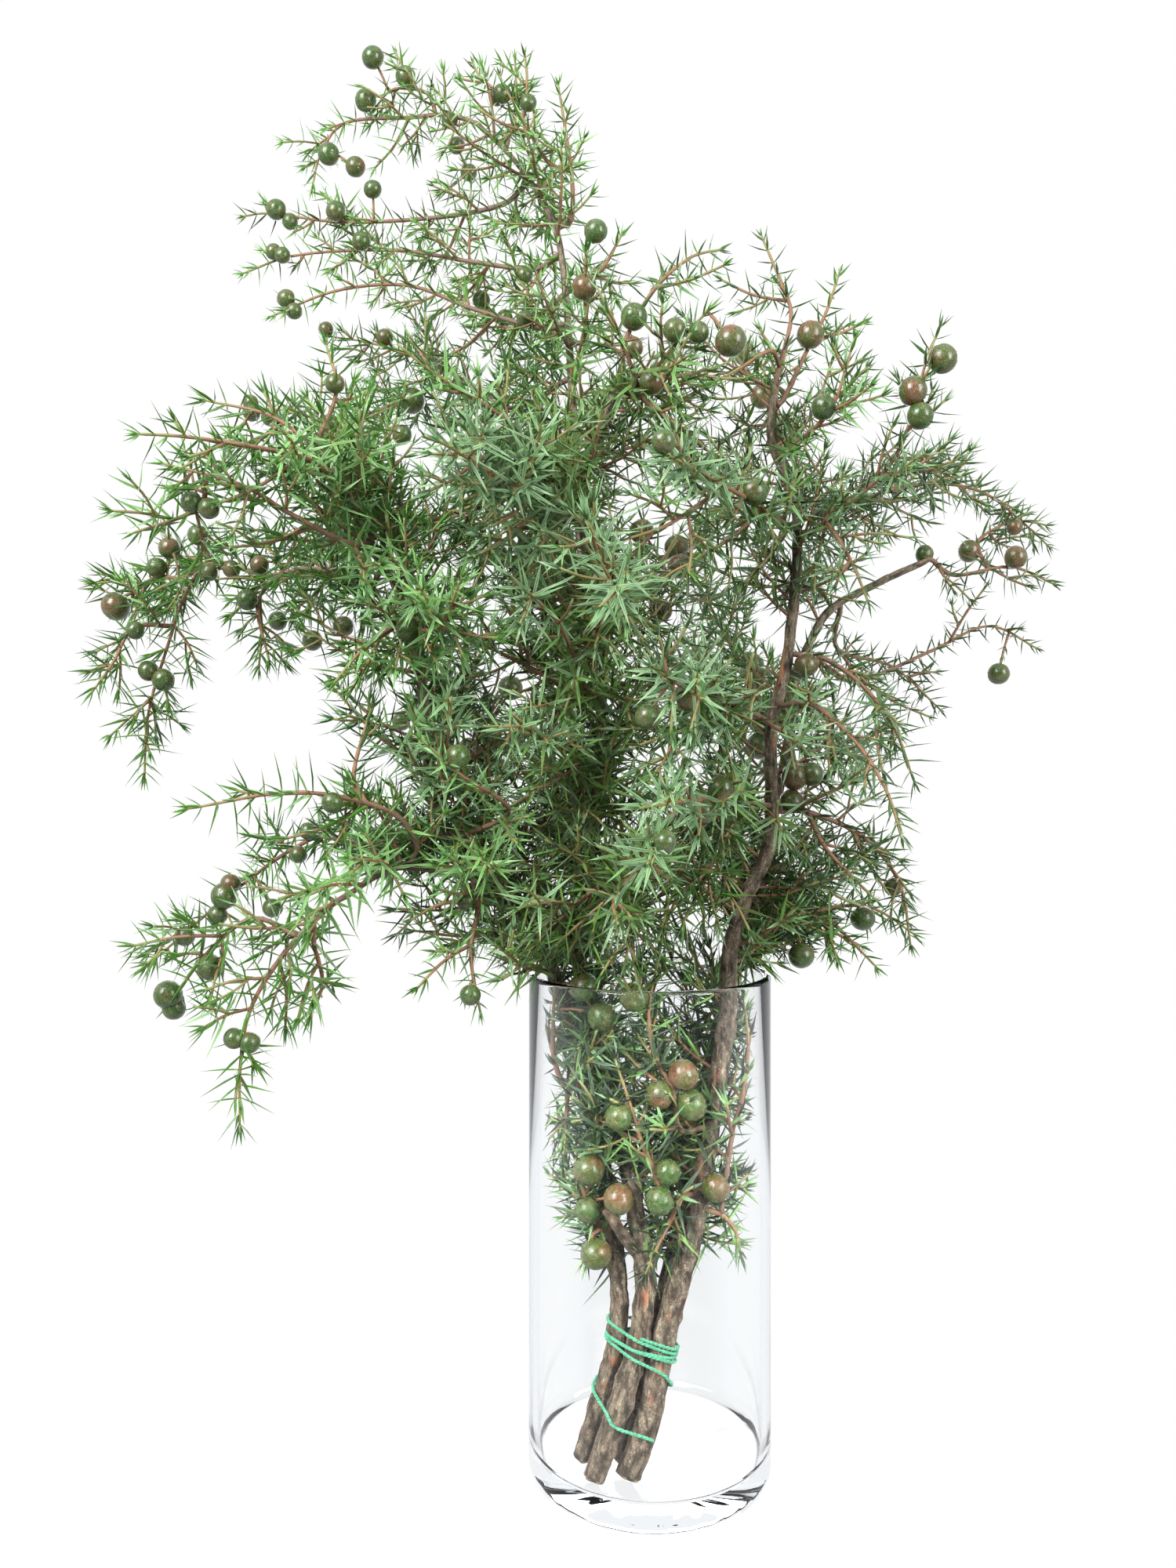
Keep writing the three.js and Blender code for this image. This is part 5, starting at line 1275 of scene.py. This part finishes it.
def make_needles(name, rows, material, nodes):
    """All needles of a region at once: a flat upper face, a keel below and a sharp tip."""
    foot, way, face = rows[:, 0:3], rows[:, 3:6], rows[:, 6:9]
    length, width, row = rows[:, 9:10], rows[:, 10:11], rows[:, 11]
    side = np.cross(way, face)
    corners = []
    for share, half in NEEDLE_RINGS:
        middle = foot + way * (length * share)
        corners += [middle + side * (width * half), middle + face * (width * 0.03),
                    middle - side * (width * half), middle - face * (width * half * 0.72)]
    corners.append(foot + way * length + face * (length * 0.045))
    at = np.stack(corners, axis=1).reshape(-1, 3) * MM
    form = needle_form()
    count, per = len(rows), len(form.spots)
    each = np.arange(count)[:, None]
    loops = each * len(corners) + np.array([i for f in form.faces for i in f])[None, :]
    starts = each * per + np.cumsum([0] + [len(f) for f in form.faces[:-1]])[None, :]
    place = np.array(form.spots)
    uv = np.empty((count, per, 2))
    uv[:, :, 0] = 0.01 + 0.98 * place[None, :, 0]
    uv[:, :, 1] = (row[:, None] + place[None, :, 1]) / NEEDLE_ROWS
    data = bpy.data.meshes.new(name)
    data.vertices.add(len(at))
    data.vertices.foreach_set("co", at.astype(np.float32).ravel())
    data.loops.add(loops.size)
    data.loops.foreach_set("vertex_index", loops.ravel().astype(np.int32))
    data.polygons.add(starts.size)
    data.polygons.foreach_set("loop_start", starts.ravel().astype(np.int32))
    layer = data.uv_layers.new(name="OFBake")
    layer.data.foreach_set("uv", uv.astype(np.float32).ravel())
    data.update(calc_edges=True)
    data.validate()
    data.polygons.foreach_set("use_smooth", [False] * len(data.polygons))
    put_in_scene(name, data, material, nodes)


def main_twigs(wood, twigs, woods, draw):
    """A spray's main twigs, through its given points: the first from the wood, the rest from it."""
    mains = []
    for points in twigs:
        cleared = [move_clear(Vector(p), 1.3, woods) for p in points]
        if mains:
            stem = mains[0].route
            fork = max(FIRST_FORK, stem.nearest(cleared[0])[1] - FORK_BELOW)
            route, bare, radius = Route([stem.at(fork), *cleared]), BARE, FORK_RADIUS
        else:
            route, bare, radius = Route([*rooted_on(wood, cleared[0]), *cleared]), ROOT_BARE, MAIN_RADIUS
        age = min(1.0, 0.35 + route.length / 220)
        mains.append(Twig(route, radius, TWIG_TIP, bare, pi * draw(), age))
    return mains


def ruled_shoots(main, draw):
    """The side shoots that the solids have too."""
    shoots = []
    leafy = main.route.length - main.bare
    count = max(1, round(leafy / WHORL_STEP))
    for k in range(0, count - 1, 2):
        s = main.route.length - FOOT - leafy * (count - 1 - k) / count
        angle = main.turn + pi / 3 * k + pi / 3 + tau * (k // 2 % 3) / 3
        share = 1 - 0.65 * s / main.route.length
        length = SIDE_LENGTH * share * (0.7 + 0.6 * draw())
        shoots.append(side_shoot(main, s, angle, length, SIDE_LEAN, "side"))
    return [shoot for shoot in shoots if shoot]


def small_shoots(main, leafy, fine):
    def size(s):
        share = 1 - 0.7 * s / main.route.length
        length = (18 + 26 * fine()) * share * (0.4 + 0.6 * leafy)
        return length, radians(40 + 25 * fine())

    def step():
        return EXTRA_STEP * (0.7 + 0.6 * fine()) / leafy
    return shoots_along(main, "small", main.bare + 3 * fine(), main.route.length - 12, size, step, fine)


def buds(shoot, leafy, fine):
    def size(s):
        lean = radians(40 + 20 * fine())
        return 9 + 11 * fine(), lean

    def step():
        return (9 + 5 * fine()) / leafy
    return shoots_along(shoot, "bud", 6 + 3 * fine(), shoot.route.length - 7, size, step, fine)


def hang_berry(region, mains, woods, longest, place, size):
    """A berry on the nearest main twig, by a stalk if it is far from it, with needles if very far."""
    centre = move_clear(Vector(place), size / 2, woods)
    distance, s, i = min((*main.route.nearest(centre), i) for i, main in enumerate(mains))
    foot = mains[i].route.at(max(FIRST_FORK, s))
    reach = distance - size / 2
    if reach < NEAR:
        centre = foot.lerp(centre, size / 2 / distance) if distance > size / 2 else centre
    else:
        bend = foot.lerp(centre, 0.5)
        region.grow(Twig(Route([foot, bend + UP * (reach * 0.08), centre]), 0.65, 0.55, 2.0, 1.0, 0.4))
        if reach > FAR:
            leafy = Route([foot, bend, foot.lerp(centre, max(0.1, (distance - size / 2 - 3) / distance))])
            region.clothe(Twig(leafy, 0.6, 0.5, 2.0, 1.0, 0.3), longest * 0.8)
    region.berry(centre, size, foot)


def grow_spray(order, name, branches, woods, region):
    on, share, twigs, berries = SPRAYS[name]
    draw, fine = seeded(1009 + 17 * order), region.draw
    region.nodes.append(name)
    leafy = region.leafy * share
    mains = main_twigs(branches[on], twigs, woods, draw)
    sides = [shoot for main in mains for shoot in ruled_shoots(main, draw)]
    small = [shoot for main in mains for shoot in small_shoots(main, leafy, fine)]
    tiny = [bud for shoot in sides + small for bud in buds(shoot, leafy, fine)]
    longest = (region.longest + 2.5 * fine()) * (0.55 + 0.45 * min(1.0, share))
    for twig in mains + sides + small + tiny:
        region.grow(twig)
        region.clothe(twig, longest, "fresh" if name in FRESH_SPRAYS else None)
    for *place, size in berries:
        hang_berry(region, mains, woods, longest, place, size)


def stem_buds(shoot, fine):
    def size(s):
        return 9 + 12 * fine(), radians(42 + 22 * fine())

    def step():
        return 8 + 5 * fine()
    return shoots_along(shoot, "bud", 7 + 4 * fine(), shoot.route.length - 6, size, step, fine)


def grow_from_stem(branches, regions, name, limb, low, high, key, step, least=(-1, -1, -1), most=(1, 1, 1)):
    """Small leafy shoots straight from the wood, which fill the plant's middle."""
    part = branches[name][limb]
    region = regions[key]
    fine = region.draw
    wood = Twig(part["route"], part["from"], part["to"], 0, 0, 1)
    s = wood.route.at_height(low) + step * fine()
    while s < wood.route.length - 4 and wood.route.at(s).z < high:
        angle = tau * fine()
        length = (24 + 30 * fine()) * (0.62 if key == "vase" else 1)
        shoot = side_shoot(wood, s, angle, length, radians(48 + 26 * fine()), "stem")
        s += step * (0.6 + 0.8 * fine())
        if not shoot or any(w < a or w > b for w, a, b in zip(shoot.route.heading(2), least, most)):
            continue
        small = [shoot, *stem_buds(shoot, fine)]
        longest = region.longest + 2.5 * fine()
        for twig in small:
            region.grow(twig)
            region.clothe(twig, longest)


# Camera, light and surroundings

def make_camera():
    data = bpy.data.cameras.new("camera")
    data.lens = LENS
    data.sensor_width = FILM_WIDTH
    camera = bpy.data.objects.new("camera", data)
    camera.location = [c * MM for c in EYE]
    camera.rotation_euler = (pi / 2, 0, 0)
    bpy.context.scene.collection.objects.link(camera)
    bpy.context.scene.camera = camera


def make_light(name, place, target, size, power):
    data = bpy.data.lights.new(name, "AREA")
    data.shape = "RECTANGLE"
    data.size, data.size_y = size
    data.energy = power
    light = bpy.data.objects.new(name, data)
    light.location = place
    light.rotation_euler = (Vector(target) - Vector(place)).to_track_quat("-Z", "Y").to_euler()
    bpy.context.scene.collection.objects.link(light)


def make_world():
    """White for every straight view, also through the glass, and shaded where it lights or is mirrored."""
    world = bpy.data.worlds.new("white_studio")
    bpy.context.scene.world = world
    n = Nodes(world)
    path = n.new("ShaderNodeLightPath").outputs
    turned = n.math("SUBTRACT", path["Ray Depth"], path["Transmission Depth"])
    straight = n.math("LESS_THAN", turned, 1.5)
    mirrored = n.math("LESS_THAN", path["Diffuse Depth"], 0.5)
    direction = n.split(n.new("ShaderNodeTexCoord").outputs["Generated"])

    def along(axis, *stops):
        place = n.new("ShaderNodeMapRange")
        place.inputs["From Min"].default_value = -1
        n.link(direction[axis], place.inputs["Value"])
        return n.ramp(place.outputs[0], [(at, tone if isinstance(tone, tuple) else (tone,) * 3)
                                         for at, tone in stops])
    soft = n.mix(1.0, along(1, (0.0, 0.34), (0.5, (0.52, 0.54, 0.56)), (1.0, 0.9)),
                 along(2, (0.0, 0.5), (0.5, 0.85), (1.0, 1.25)), "MULTIPLY")
    sides = along(1, (0.0, (0.09, 0.105, 0.13)), (0.26, (0.14, 0.16, 0.2)), (0.39, (0.76, 0.82, 0.9)),
                  (0.6, 0.97), (1.0, (0.93, 0.95, 0.98)))
    ends = along(2, (0.0, 0.95), (0.2, (0.86, 0.9, 0.95)), (0.33, 0.0), (0.75, 0.0), (0.9, 1.0))
    turned_away = n.mix(mirrored, soft, n.mix(1.0, sides, ends, "LIGHTEN"))
    ground = n.tree.nodes["Background"]
    ground.inputs[1].default_value = 1.0
    n.link(n.mix(straight, turned_away, (1, 1, 1)), ground.inputs[0])


def make_floor():
    """A white floor that glows evenly. Only the camera sees it, so it lights and mirrors nothing."""
    reach, level = 3, -0.0006
    data = bpy.data.meshes.new("floor")
    corners = ((-reach, -reach), (reach, -reach), (reach, reach), (-reach, reach))
    data.from_pydata([(x, y, level) for x, y in corners], [], [(0, 1, 2, 3)])
    n = Nodes(bpy.data.materials.new("white_floor"))
    n.link(n.new("ShaderNodeEmission").outputs[0], n.tree.nodes["Material Output"].inputs[0])
    data.materials.append(n.owner)
    floor = bpy.data.objects.new("floor", data)
    floor.visible_diffuse = False
    floor.visible_glossy = False
    floor.visible_transmission = False
    floor.visible_shadow = False
    bpy.context.scene.collection.objects.link(floor)


def make_surroundings():
    bpy.context.scene.view_settings.view_transform = "Standard"
    make_camera()
    make_world()
    make_floor()
    make_light("key", (-0.75, -0.9, 1.05), (0, 0, 0.35), (0.6, 0.8), 33)
    make_light("fill", (0.9, -0.8, 0.6), (0, 0, 0.3), (0.4, 0.8), 16)
    make_light("behind", (0.1, 1.1, 0.7), (0, 0, 0.35), (1.4, 1.0), 14)


def make_wood(branches):
    bark, cut = bark_material(), wood_material()
    for order, (name, parts) in enumerate(branches.items()):
        make_stem(name, parts, order, bark, cut)


def things_to_show(stem):
    """The berries, and places along the right stem, that needles in front of them would hide."""
    berries = [berry for spray in SPRAYS.values() for berry in spray[3]]
    low, high = (int(stem.at_height(z)) for z in UNCOVERED["heights"])
    return berries + [(*stem.at(s), UNCOVERED["stem"]) for s in range(low, high, 4)]


def make_foliage(branches):
    looks = {"needle": needle_material(), "twig": twig_material(), "berry": berry_material()}
    woods = [part for parts in branches.values() for part in parts]
    regions = {}
    for order, (key, values) in enumerate(REGIONS.items()):
        regions[key] = Region(key, *values, seeded(4001 + 31 * order))
    for order, name in enumerate(SPRAYS):
        key = max((key for key in REGIONS if name.startswith(key + "_")), key=len)
        grow_spray(order, name, branches, woods, regions[key])
    for row in STEM_SHOOTS:
        grow_from_stem(branches, regions, *row)
    shown = things_to_show(branches["right"][0]["route"])
    for region in regions.values():
        region.finish(looks, shown)


branches = {name: wood_of(name) for name in BRANCHES}
make_surroundings()
make_wood(branches)
make_string(branches, string_material())
make_vase(glass_material())
make_foliage(branches)
